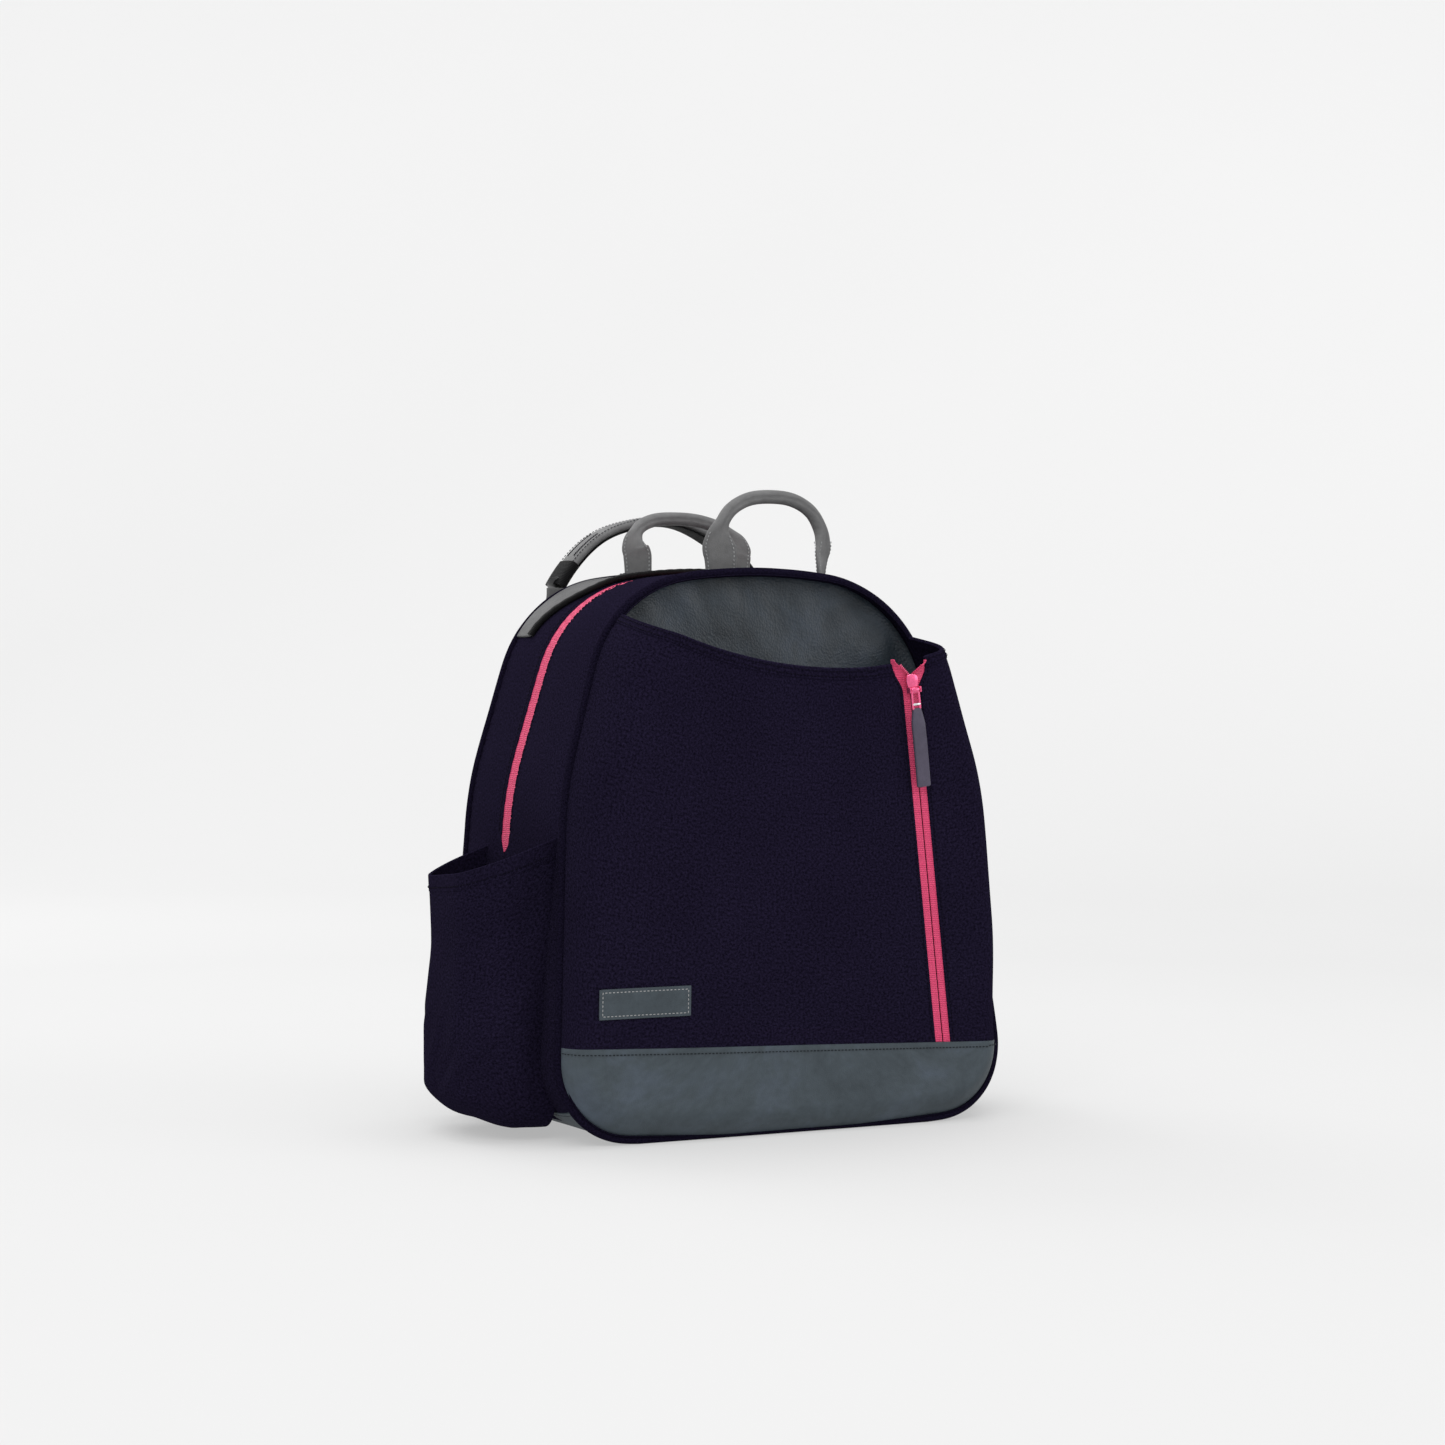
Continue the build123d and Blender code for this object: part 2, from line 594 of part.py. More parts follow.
def strap_pad(side):
    """A padded shoulder strap: straight stretches between flat sections."""
    points = [Vector(side * x, y, z) for x, y, z, _ in STRAP_STATIONS]
    with BuildPart() as pad:
        for i, point in enumerate(points):
            before, after = points[max(i - 1, 0)], points[min(i + 1, len(points) - 1)]
            along = (after - before).normalized()
            across = Vector(1, 0, 0) - along * along.X
            with BuildSketch(Plane(origin=point, x_dir=across, z_dir=along)):
                RectangleRounded(STRAP_STATIONS[i][3], STRAP_THICK, 3)
        loft(ruled=True)
    return pad


def webbing_frame(side):
    """A plane at the pad's lower end, z along the webbing down to the bag's lower corner."""
    x, y, z, _ = STRAP_STATIONS[-1]
    start, end = Vector(side * x, y, z), Vector(side * WEB_FOOT[0], WEB_FOOT[1], WEB_FOOT[2])
    along = (end - start).normalized()
    across = Vector(1, 0, 0) - along * along.X
    return Plane(origin=start, x_dir=across, z_dir=along), (end - start).length


def webbing(side):
    """The narrow webbing under a shoulder strap."""
    frame, length = webbing_frame(side)
    with BuildPart() as strip:
        with BuildSketch(frame.offset(WEB_GAP)):
            Rectangle(WEB_WIDE, WEB_THICK)
        extrude(amount=length - WEB_GAP)
    return strip


def adjuster(side):
    """A rectangular adjuster that runs on the webbing."""
    frame, _ = webbing_frame(side)
    with BuildPart() as buckle:
        with BuildSketch(frame.offset(8)):
            RectangleRounded(34, 9, 2)
            Rectangle(WEB_WIDE + 1.2, WEB_THICK + 1.2, mode=Mode.SUBTRACT)
        extrude(amount=12)
    return buckle


def corner_tab(side):
    """The cloth tab that holds the webbing at the bag's lower corner."""
    with BuildPart() as tab:
        with BuildSketch(Plane.XZ.offset(-BACK_Y)):
            with BuildLine():
                Polyline(
                    (side * 134, 40),
                    (side * 164, 40),
                    (side * 176, 22),
                    (side * 150, 16),
                    close=True,
                )
            make_face()
        extrude(amount=-7)
    return tab


def strap_ring(side):
    """The ring between the yoke and the shoulder strap, with the leather tab that holds it."""
    with BuildPart() as ring:
        with BuildSketch(Plane.XZ.offset(-(BACK_Y + 6.5))):
            with Locations((side * RING_X, RING_Z)):
                RectangleRounded(40, 12, 4)
                RectangleRounded(33, 5.4, 2, mode=Mode.SUBTRACT)
        extrude(amount=-3.5)
    with BuildPart() as tab:
        with BuildSketch(Plane.XZ.offset(-(BACK_Y + 2.5))):
            with Locations((side * RING_X, RING_Z + 6)):
                Rectangle(32, 13)
        extrude(amount=-3.9)
    return ring, tab


straps = {}
ring_tabs = []
for side, word in ((-1, "left"), (1, "right")):
    ring, tab = strap_ring(side)
    ring_tabs.append(tab)
    straps[f"strap_pad_{word}"] = strap_pad(side)
    straps[f"strap_webbing_{word}"] = webbing(side)
    straps[f"strap_adjuster_{word}"] = adjuster(side)
    straps[f"strap_ring_{word}"] = ring
strap_ring_tabs = group(*ring_tabs)
strap_corner_tabs = group(corner_tab(-1), corner_tab(1))


# ---- side pockets --------------------------------------------------------------------------------
HEM_DEEP = 12.0
whole_depth = side_prism((-REACH, -20), (REACH, -20), (REACH, REACH), (-REACH, REACH))


def side_pocket(side, out, radius, z_low=2.0):
    """A pocket on the bag's side: its cloth, and the hem round its sloping rim."""
    inner = 120.0
    wide, deep, tall = out - inner, 128.0, 240.0
    wall, heel = 2.5, 9.0
    centre = Location((side * (inner + out) / 2, -3.0))
    with BuildPart() as cup:
        with BuildSketch(Plane.XY.offset(z_low)):
            with Locations(centre):
                RectangleRounded(wide, deep, radius)
        extrude(amount=tall)
        chamfer(cup.faces().sort_by(Axis.Z)[0].edges(), heel)
        with BuildSketch(Plane.XY.offset(z_low + wall)):
            with Locations(centre):
                RectangleRounded(wide - 2 * heel, deep - 2 * heel, radius - heel)
        with BuildSketch(Plane.XY.offset(z_low + heel + 2)):
            with Locations(centre):
                RectangleRounded(wide - 2 * wall, deep - 2 * wall, radius - wall)
        loft(ruled=True, mode=Mode.SUBTRACT)
        with BuildSketch(Plane.XY.offset(z_low + heel + 2)):
            with Locations(centre):
                RectangleRounded(wide - 2 * wall, deep - 2 * wall, radius - wall)
        extrude(amount=tall, mode=Mode.SUBTRACT)
        add(outline_plate(0, whole_depth), mode=Mode.SUBTRACT)
    rim = Plane(origin=(side * 178, -66, 226), z_dir=(side * 0.22, 0.09, 1))
    with BuildPart() as cloth:
        add(cup.part)
        split(bisect_by=rim.offset(-HEM_DEEP), keep=Keep.BOTTOM)
    with BuildPart() as hem:
        add(cup.part)
        split(bisect_by=rim, keep=Keep.BOTTOM)
        split(bisect_by=rim.offset(-HEM_DEEP), keep=Keep.TOP)
    return cloth, hem


side_pocket_left, hem_left = side_pocket(-1, 254.0, 52.0)
side_pocket_right, hem_right = side_pocket(1, 214.0, 30.0)
side_pocket_hems = group(hem_left, hem_right)

# ---- write every piece -----------------------------------------------------------------------------
pieces = {
    "base_panel": base_panel, "side_panel_left": side_panel_left, "side_panel_right": side_panel_right,
    "rear_gusset": rear_gusset, "front_gusset": front_gusset, "back_panel": back_panel,
    "back_board": back_board, "base_board": base_board, "rear_piping": rear_piping,
    "laptop_sleeve": laptop_sleeve, **back_pads,
    "main_zip_tape_rear": main_zip_tape_rear, "main_zip_coil_rear": main_zip_coil_rear,
    "main_zip_tape_front": main_zip_tape_front, "main_zip_coil_front": main_zip_coil_front,
    "front_piping_lower": front_piping_lower, "front_piping_upper": front_piping_upper,
    "front_wall_lower": front_wall_lower, "front_wall_upper": front_wall_upper,
    "front_yoke": front_yoke,
    "front_fold": front_fold, "bottom_band": bottom_band,
    "pocket_lower_left": pocket_lower_left, "pocket_lower_right": pocket_lower_right,
    "pocket_upper_left": pocket_upper_left, "pocket_upper_right": pocket_upper_right,
    "mouth_binding": mouth_binding, "pocket_fold": pocket_fold,
    "pocket_zip_lower": pocket_zip_lower, "pocket_zip_upper": pocket_zip_upper,
    "label_patch": label_patch, "pocket_slider": pocket_slider, "pocket_pull_loop": pocket_pull_loop,
    "pocket_pull_tab": pocket_pull_tab, "side_slider": side_slider, "side_pull": side_pull,
    "top_slider": top_slider, "top_pull": top_pull, "front_handle": front_handle,
    "front_handle_feet": front_handle_feet,
    "rear_handle": rear_handle, "rear_handle_feet": rear_handle_feet,
    "strap_yoke": strap_yoke, "back_yoke": back_yoke, "top_loop": top_loop, **straps,
    "strap_ring_tabs": strap_ring_tabs, "strap_corner_tabs": strap_corner_tabs,
    "side_pocket_left": side_pocket_left, "side_pocket_right": side_pocket_right,
    "side_pocket_hems": side_pocket_hems,
}
os.makedirs("parts", exist_ok=True)
for name, piece in pieces.items():
    piece.part.label = name
    export_step(piece.part, f"parts/{name}.step")

print("nodes", len(pieces))
for name, frame in (("front", front_frame), ("side", side_frame), ("top", top_frame)):
    print(name, "slider at", frame.origin, "along", frame.x_dir, "out", frame.z_dir)
    print("   pivot", frame.from_local_coords((0, 0, PULL_PIVOT)), "axis", frame.y_dir)
print("tab pivot", loop_plane.from_local_coords((-TAB_SWINGS_AT, 0, 0)))
print("arc centre", arc_centre, "handle axes", front_axis_z, rear_axis_z)
for side in (-1, 1):
    frame, length = webbing_frame(side)
    print("webbing", frame.origin, frame.z_dir, length)
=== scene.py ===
"""Looks of the racket backpack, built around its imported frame. Metres, +Z up, the front faces -Y."""
import json
import math

import bmesh
import bpy
import numpy as np
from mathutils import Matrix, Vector, geometry, noise


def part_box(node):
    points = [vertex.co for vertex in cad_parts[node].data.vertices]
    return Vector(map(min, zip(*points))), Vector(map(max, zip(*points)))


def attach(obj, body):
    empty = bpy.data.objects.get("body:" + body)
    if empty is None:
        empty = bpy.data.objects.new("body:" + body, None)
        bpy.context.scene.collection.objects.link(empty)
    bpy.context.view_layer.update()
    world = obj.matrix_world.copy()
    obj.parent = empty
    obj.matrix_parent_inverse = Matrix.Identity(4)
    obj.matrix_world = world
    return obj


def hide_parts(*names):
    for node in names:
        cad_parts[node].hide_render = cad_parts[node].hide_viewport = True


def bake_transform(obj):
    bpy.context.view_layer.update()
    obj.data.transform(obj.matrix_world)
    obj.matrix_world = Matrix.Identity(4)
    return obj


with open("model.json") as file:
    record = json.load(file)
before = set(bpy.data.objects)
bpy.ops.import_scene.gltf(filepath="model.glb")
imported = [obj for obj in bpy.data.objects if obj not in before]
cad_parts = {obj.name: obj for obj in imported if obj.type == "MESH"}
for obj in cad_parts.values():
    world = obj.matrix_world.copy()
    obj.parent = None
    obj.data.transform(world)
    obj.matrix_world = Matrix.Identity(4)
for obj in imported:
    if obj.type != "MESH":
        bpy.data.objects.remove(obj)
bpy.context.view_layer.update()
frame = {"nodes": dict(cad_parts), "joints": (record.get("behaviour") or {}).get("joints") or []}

MM = 0.001
CENTRE = Vector((0, 0, 0.21))      # a point inside the bag, for telling out from in

# ---- sizes and places ---------------------------------------------------------------------------
seam_low, seam_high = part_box("front_piping_lower")[0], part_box("front_piping_upper")[1]
SEAM_FOOT_Y = seam_low.y
SEAM_LEAN = (seam_high.y - 5 * MM - SEAM_FOOT_Y) / seam_high.z
BACK_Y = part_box("back_panel")[1].y
TOP_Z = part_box("back_panel")[1].z
ZIP_Y = (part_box("main_zip_tape_front")[1].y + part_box("main_zip_tape_rear")[0].y) / 2
ZIP_HALF = 8 * MM
FOLD_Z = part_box("main_zip_tape_rear")[0].z
BASE_WRAP_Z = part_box("base_panel")[1].z
YOKE_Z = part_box("front_yoke")[0].z
POCKET_FOOT, POCKET_FLARE = 14 * MM, 0.13      # how far the racket pocket stands forward, and flares
FLAT_INSET, FLAT_SHIFT = 22 * MM, 3 * MM       # where the pocket's flat front begins
SEAM_MIDDLE_Z, SEAM_SLOPE = 68 * MM, -0.035    # seam between the pocket's cloth and its leather foot
ZIP_TOP, ZIP_FOOT = (96 * MM, 352 * MM), (129 * MM, 66 * MM)
FRONT_ZIP_HALF = 7.5 * MM
SLIDER_Z = 337 * MM
MOUTH_LEFT, MOUTH_SAG = (-160 * MM, 407 * MM), (-62 * MM, 366 * MM)
MOUTH_LOW, MOUTH_RIGHT = (45 * MM, 353 * MM), (160 * MM, 381 * MM)
FLAP = ("root", "front_flap", (0, 0, 130 * MM), (0, 0, 275 * MM))   # where the front creases as it opens


# ---- small helpers ------------------------------------------------------------------------------
def smooth(t):
    """0 below 0, 1 above 1, and an even rise between."""
    t = np.clip(t, 0, 1)
    return t * t * (3 - 2 * t)


def ripple(points, size, seed=0.0):
    """Soft noise from about -1 to 1 at each point, with features of a given size."""
    shift = Vector((seed, seed * 0.37, -seed * 0.61))
    flat = np.asarray(points, float).reshape(-1, 3) / size
    values = [noise.noise(Vector(p) + shift) for p in flat]
    return np.array(values).reshape(np.asarray(points).shape[:-1])


def normals_of(grid):
    """Unit normals of a grid of points, pointing away from the inside of the bag."""
    along, across = np.gradient(grid, axis=0), np.gradient(grid, axis=1)
    n = np.cross(along, across)
    n /= np.maximum(np.linalg.norm(n, axis=-1, keepdims=True), 1e-12)
    return n


def unit(v):
    """A vector, or an array of them, at length one."""
    v = np.asarray(v, float)
    return v / np.maximum(np.linalg.norm(v, axis=-1, keepdims=True), 1e-12)


def travelled(path):
    """Distance travelled along a path at each of its points."""
    return np.concatenate([[0], np.cumsum(np.linalg.norm(np.diff(path, axis=0), axis=1))])


def make_mesh(name, points, faces, uvs=None, sharp=50):
    """A smooth-shaded mesh object from points and faces, with an optional UV for each point."""
    mesh = bpy.data.meshes.new(name)
    mesh.from_pydata([tuple(p) for p in points], [], [tuple(f) for f in faces])
    if uvs is not None:
        layer = mesh.uv_layers.new(name="metres")
        corners = np.zeros(len(mesh.loops), int)
        mesh.loops.foreach_get("vertex_index", corners)
        layer.data.foreach_set("uv", np.asarray(uvs, np.float32)[corners].ravel())
    mesh.shade_smooth()
    mesh.set_sharp_from_angle(angle=math.radians(sharp))
    piece = bpy.data.objects.new(name, mesh)
    bpy.context.scene.collection.objects.link(piece)
    return piece


def lengths(grid, axis):
    """Mean distance travelled along one axis of a grid."""
    steps = np.linalg.norm(np.diff(grid, axis=axis), axis=-1).mean(axis=1 - axis)
    return np.concatenate([[0], np.cumsum(steps)])


def cloth(name, grid, thick=2 * MM, away_from=CENTRE, sharp=50):
    """A sheet with thickness and rounded rims, from a grid of points on its outer face."""
    rows, cols, _ = grid.shape
    normal = normals_of(grid)
    outward = np.sum(normal * (grid - np.array(away_from)), axis=-1).mean()
    if outward < 0:
        grid = grid[:, ::-1]
        normal = -normal[:, ::-1]
    inner = grid - normal * thick
    v, u = np.meshgrid(lengths(grid, 0), lengths(grid, 1), indexing="ij")
    index = np.arange(rows * cols).reshape(rows, cols)
    quads = np.stack([index[:-1, :-1], index[1:, :-1], index[1:, 1:], index[:-1, 1:]], -1).reshape(-1, 4)
    back = quads[:, ::-1] + rows * cols
    ring = np.concatenate([index[:-1, 0], index[-1, :-1], index[:0:-1, -1], index[0, :0:-1]])
    inside = np.concatenate([
        index[:-1, 1], index[-2, :-1], index[:0:-1, -2], index[1, :0:-1]
    ])
    outer_flat, inner_flat = grid.reshape(-1, 3), inner.reshape(-1, 3)
    away = unit(outer_flat[ring] - outer_flat[inside])
    middle = (outer_flat[ring] + inner_flat[ring]) / 2 + away * thick * 0.3
    start = 2 * rows * cols
    rim = np.arange(len(ring)) + start
    rim_next, ring_next = np.roll(rim, -1), np.roll(ring, -1)
    rims = [np.stack([ring, rim, rim_next, ring_next], -1),
            np.stack([rim, ring + rows * cols, ring_next + rows * cols, rim_next], -1)]
    points = np.concatenate([outer_flat, inner_flat, middle])
    flat_uv = np.stack([u, v], -1).reshape(-1, 2)
    uvs = np.concatenate([flat_uv, flat_uv, flat_uv[ring]])
    return make_mesh(name, points, np.concatenate([quads, back, *rims]), uvs, sharp)


def loft(name, centres, across, up, sections, closed=False, sharp=50):
    """A solid swept through stations: each section is a ring of (across, up) distances."""
    centres = np.asarray(centres)
    across, up = (np.broadcast_to(np.asarray(v), centres.shape) for v in (across, up))
    sections = np.asarray(sections, float)
    if sections.ndim == 2:
        sections = np.repeat(sections[None], len(centres), 0)
    count, around = sections.shape[:2]
    points = (centres[:, None] + across[:, None] * sections[..., :1] + up[:, None] * sections[..., 1:2])
    index = np.arange(count * around).reshape(count, around)
    if closed:
        index_next = np.roll(index, -1, 0)
    else:
        index, index_next = index[:-1], index[1:]
    turn, turn_next = np.roll(index, -1, 1), np.roll(index_next, -1, 1)
    faces = [list(f) for f in np.stack([index, index_next, turn_next, turn], -1).reshape(-1, 4)]
    if not closed:
        faces.append(list(range(around)))
        faces.append(list(range(count * around - 1, (count - 1) * around - 1, -1)))
    uvs = np.stack([np.tile(travelled(sections[0]), count), np.repeat(travelled(centres), around)], -1)
    piece = make_mesh(name, points.reshape(-1, 3), faces, uvs, sharp)
    face_out(piece)
    return piece


def face_out(piece):
    """Turns every face of a closed piece outwards."""
    bm = bmesh.new()
    bm.from_mesh(piece.data)
    bmesh.ops.recalc_face_normals(bm, faces=bm.faces)
    bm.to_mesh(piece.data)
    bm.free()


def oval(half_wide, half_thick, count=20, power=2.0):
    """A ring of points on a rounded section: power 2 is an ellipse, and higher is squarer."""
    a = np.linspace(0, 2 * math.pi, count, endpoint=False)
    c, s = np.cos(a), np.sin(a)
    return np.stack([
        half_wide * np.sign(c) * np.abs(c) ** (2 / power), half_thick * np.sign(s) * np.abs(s) ** (2 / power)
    ], -1)


def frames_along(points, up_hint):
    """Side and up directions at each point of a path, with up as near the hint as it can be."""
    points = np.asarray(points, float)
    along = unit(np.gradient(points, axis=0))
    hint = np.broadcast_to(np.asarray(up_hint, float), points.shape)
    side = unit(np.cross(along, hint))
    return side, unit(np.cross(side, along))


def spaced(points, count):
    """The same path with evenly spaced points."""
    points = np.asarray(points, float)
    travel = travelled(points)
    at = np.linspace(0, travel[-1], count)
    return np.stack([np.interp(at, travel, points[:, k]) for k in range(points.shape[1])], -1)


def spline(points, count):
    """A smooth path through a few points: Catmull-Rom, evenly spaced."""
    p = np.asarray(points, float)
    p = np.concatenate([[2 * p[0] - p[1]], p, [2 * p[-1] - p[-2]]])
    path = []
    for a, b, c, d in zip(p[:-3], p[1:-2], p[2:-1], p[3:]):
        for t in np.linspace(0, 1, 24, endpoint=False):
            path.append(0.5 * (2 * b + (c - a) * t + (2 * a - 5 * b + 4 * c - d) * t ** 2
                               + (3 * b - a - 3 * c + d) * t ** 3))
    path.append(p[-2])
    return spaced(path, count)


def stitches(name, path, normals, pitch=3.4 * MM, long=2.5 * MM, radius=0.42 * MM, slant=0.0):
    """A row of thread stitches lying on a surface along a path."""
    path = np.asarray(path, float)
    normals = np.broadcast_to(np.asarray(normals, float), path.shape)
    travel = travelled(path)
    count = max(1, int(travel[-1] / pitch))
    at = (np.arange(count) + 0.5) * travel[-1] / count

    def along_path(values, where):
        return np.stack([np.interp(where, travel, values[:, k]) for k in range(3)], -1)

    middle, up = along_path(path, at), unit(along_path(normals, at))
    ahead = unit(along_path(path, at + long * 0.3) - along_path(path, at - long * 0.3))
    side = np.cross(up, ahead)
    ahead = unit(ahead + side * slant)
    side = np.cross(up, ahead)
    places = [(-0.5, 0.25, -0.35), (-0.36, 0.85, 0.2), (0, 1.0, 0.42), (0.36, 0.85, 0.2), (0.5, 0.25, -0.35)]
    angles = np.linspace(0, 2 * math.pi, 6, endpoint=False)
    points, faces = [], []
    for m, u, a, s in zip(middle, up, ahead, side):
        base = len(points)
        for shift, swell, lift in places:
            for angle in angles:
                out = s * math.cos(angle) + u * math.sin(angle) * 0.8
                points.append(m + a * shift * long + u * lift * radius + out * radius * swell)
        for k in range(len(places) - 1):
            for j in range(6):
                b = base + k * 6
                faces.append((b + j, b + (j + 1) % 6, b + 6 + (j + 1) % 6, b + 6 + j))
        faces.append(tuple(range(base + 5, base - 1, -1)))
        faces.append(tuple(range(base + 24, base + 30)))
    piece = make_mesh(name, points, faces)
    face_out(piece)
    return piece


def join(name, *pieces):
    """Several meshes made into one piece."""
    with bpy.context.temp_override(
        active_object=pieces[0], selected_editable_objects=list(pieces), selected_objects=list(pieces)
    ):
        bpy.ops.object.join()
    pieces[0].name = name
    pieces[0].data.name = name
    return pieces[0]


def dress(piece, material, moves_with, stands_for=()):
    """Gives a piece its material and slot, parents it to the body it moves with and hides the nodes it stands for.

    Given a bend between two bodies, (body, other body, start, end), it only bakes the piece in place; nothing bends it,
    and the two bodies are not used.
    """
    piece.data.materials.clear()
    piece.data.materials.append(material)
    if isinstance(moves_with, tuple):
        body, other, start, end = moves_with
        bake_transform(piece)
        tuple(start)
        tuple(end)
    else:
        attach(piece, moves_with)
    if stands_for:
        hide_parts(*stands_for)
    return piece


# ---- materials ----------------------------------------------------------------------------------
class Shader:
    """A material's node tree with a few short ways to add nodes."""

    def __init__(self, name, colour, rough, coords="UV", **sockets):
        self.material = bpy.data.materials.new(name)
        self.material.use_nodes = True
        self.tree = self.material.node_tree
        self.surface = self.tree.nodes["Principled BSDF"]
        self.surface.inputs["Base Color"].default_value = (*colour, 1)
        self.surface.inputs["Roughness"].default_value = rough
        for socket, value in sockets.items():
            self.surface.inputs[socket.replace("_", " ")].default_value = value
        self.coords = self.tree.nodes.new("ShaderNodeTexCoord").outputs[coords]

    def math(self, operation, a, b=None):
        node = self.tree.nodes.new("ShaderNodeMath")
        node.operation = operation
        for socket, value in zip(node.inputs, (a, b)):
            if value is None:
                continue
            if isinstance(value, (int, float)):
                socket.default_value = value
            else:
                self.tree.links.new(value, socket)
        return node.outputs[0]

    def noise(self, scale, detail=3.0, rough=0.55, distortion=0.0):
        node = self.tree.nodes.new("ShaderNodeTexNoise")
        node.inputs["Scale"].default_value = scale
        node.inputs["Detail"].default_value = detail
        node.inputs["Roughness"].default_value = rough
        node.inputs["Distortion"].default_value = distortion
        self.tree.links.new(self.coords, node.inputs["Vector"])
        return node.outputs["Fac"]

    def cells(self, scale, feature="F1"):
        node = self.tree.nodes.new("ShaderNodeTexVoronoi")
        node.feature = feature
        node.inputs["Scale"].default_value = scale
        self.tree.links.new(self.coords, node.inputs["Vector"])
        return node.outputs["Distance"]

    def wave(self, axis, pitch):
        """A sine along one axis of the coordinates, with a given pitch in metres."""
        split = self.tree.nodes.new("ShaderNodeSeparateXYZ")
        self.tree.links.new(self.coords, split.inputs[0])
        return self.math("SINE", self.math("MULTIPLY", split.outputs[axis], 2 * math.pi / pitch))

    def ramp(self, value, *stops):
        """Colours along a value: stops are (place, colour)."""
        node = self.tree.nodes.new("ShaderNodeValToRGB")
        elements = node.color_ramp.elements
        while len(elements) < len(stops):
            elements.new(0.5)
        for element, (place, colour) in zip(elements, stops):
            element.position = place
            element.color = (*colour, 1)
        self.tree.links.new(value, node.inputs[0])
        return node.outputs[0]

    def multiply(self, a, b, share=1.0):
        node = self.tree.nodes.new("ShaderNodeMix")
        node.data_type = "RGBA"
        node.blend_type = "MULTIPLY"
        node.inputs[0].default_value = share
        self.tree.links.new(a, node.inputs[6])
        self.tree.links.new(b, node.inputs[7])
        return node.outputs[2]

    def colour(self, value):
        self.tree.links.new(value, self.surface.inputs["Base Color"])

    def roughness(self, value, low, high):
        node = self.tree.nodes.new("ShaderNodeMapRange")
        node.inputs["To Min"].default_value = low
        node.inputs["To Max"].default_value = high
        self.tree.links.new(value, node.inputs["Value"])
        self.tree.links.new(node.outputs[0], self.surface.inputs["Roughness"])

    def bump(self, *layers):
        """Relief from several heights: each layer is (height, strength, depth in metres)."""
        normal = None
        for height, strength, depth in layers:
            node = self.tree.nodes.new("ShaderNodeBump")
            node.inputs["Strength"].default_value = strength
            node.inputs["Distance"].default_value = depth
            self.tree.links.new(height, node.inputs["Height"])
            if normal is not None:
                self.tree.links.new(normal, node.inputs["Normal"])
            normal = node.outputs[0]
        self.tree.links.new(normal, self.surface.inputs["Normal"])


def shade(colour, factor):
    """A colour made lighter or darker."""
    return tuple(min(1.0, c * factor) for c in colour)


def woven(name, colour, pitch, coords="UV", rough=0.85, sheen=0.25, contrast=0.72, tint=(0.5, 0.45, 0.7)):
    """Plain-woven cloth: crossing threads, slubs and a slight unevenness of dye."""
    s = Shader(name, colour, rough, coords, Sheen_Weight=sheen, Sheen_Roughness=0.45, Specular_IOR_Level=0.0)
    s.surface.inputs["Sheen Tint"].default_value = (*tint, 1)
    threads = s.math("MULTIPLY", s.wave(0, pitch), s.wave(1, pitch))
    slubs = s.noise(1 / (3 * pitch), 2, 0.75)
    broad = s.noise(14, 3)
    light = s.ramp(slubs, (0.34, shade((1, 1, 1), 1 - contrast)), (0.66, (1, 1, 1)))
    dye = s.ramp(broad, (0.3, shade(colour, 1.33)), (0.7, shade(colour, 1.56)))
    s.colour(s.multiply(dye, light))
    s.roughness(slubs, rough - 0.08, rough + 0.08)
    s.bump((broad, 0.15, 1.0 * MM), (slubs, 0.6, 0.45 * MM), (threads, 0.35, 0.18 * MM))
    return s.material


def hide(name, colour, grain, coords="UV", rough=0.62, mottle=0.35, cool=1.0, bumpy=0.5, gloss=0.22):
    """Leather: a pebbled grain, soft mottling and a few creases."""
    s = Shader(name, colour, rough, coords, Specular_IOR_Level=gloss)
    cloud = s.noise(16, 5, 0.62, 0.4)
    fine = s.noise(160, 4, 0.6)
    pebbles = s.cells(1 / grain)
    creases = s.noise(1 / (grain * 5), 5, 0.7, 1.2)
    dark, light = shade(colour, 1 - mottle), shade(colour, 1 + mottle)
    light = (light[0], light[1], min(1.0, light[2] * cool))
    dye = s.ramp(cloud, (0.32, dark), (0.5, colour), (0.68, light))
    wear = s.ramp(fine, (0.35, (0.86, 0.86, 0.86)), (0.65, (1, 1, 1)))
    s.colour(s.multiply(dye, wear))
    s.roughness(cloud, rough + 0.1, rough - 0.1)
    s.bump((cloud, 0.2, 1.0 * MM), (creases, 0.3 * bumpy, 0.6 * MM), (pebbles, bumpy, 0.22 * MM))
    return s.material


def ribbed(name, colour, pitch, axis=1, coords="UV", rough=0.7, depth=0.3 * MM, sheen=0.01, gloss=0.08):
    """Tape or webbing with ribs across it, with painted shade in the grooves between the ribs."""
    s = Shader(name, colour, rough, coords, Sheen_Weight=sheen, Specular_IOR_Level=gloss)
    ribs = s.wave(axis, pitch)
    threads = s.wave(1 - axis, pitch * 0.8)
    fuzz = s.noise(900, 3)
    tone = s.ramp(fuzz, (0.3, shade(colour, 0.8)), (0.7, shade(colour, 1.12)))
    # painted shade: the colour darkens in the grooves between the ribs
    painted_rib_shade = s.ramp(s.math("MULTIPLY_ADD", ribs, 0.5), (0.0, (0.60, 0.60, 0.60)), (0.6, (1, 1, 1)))
    s.colour(s.multiply(tone, painted_rib_shade))
    s.roughness(fuzz, rough - 0.08, rough + 0.08)
    s.bump((ribs, 0.6, depth), (threads, 0.4, depth * 0.4))
    return s.material


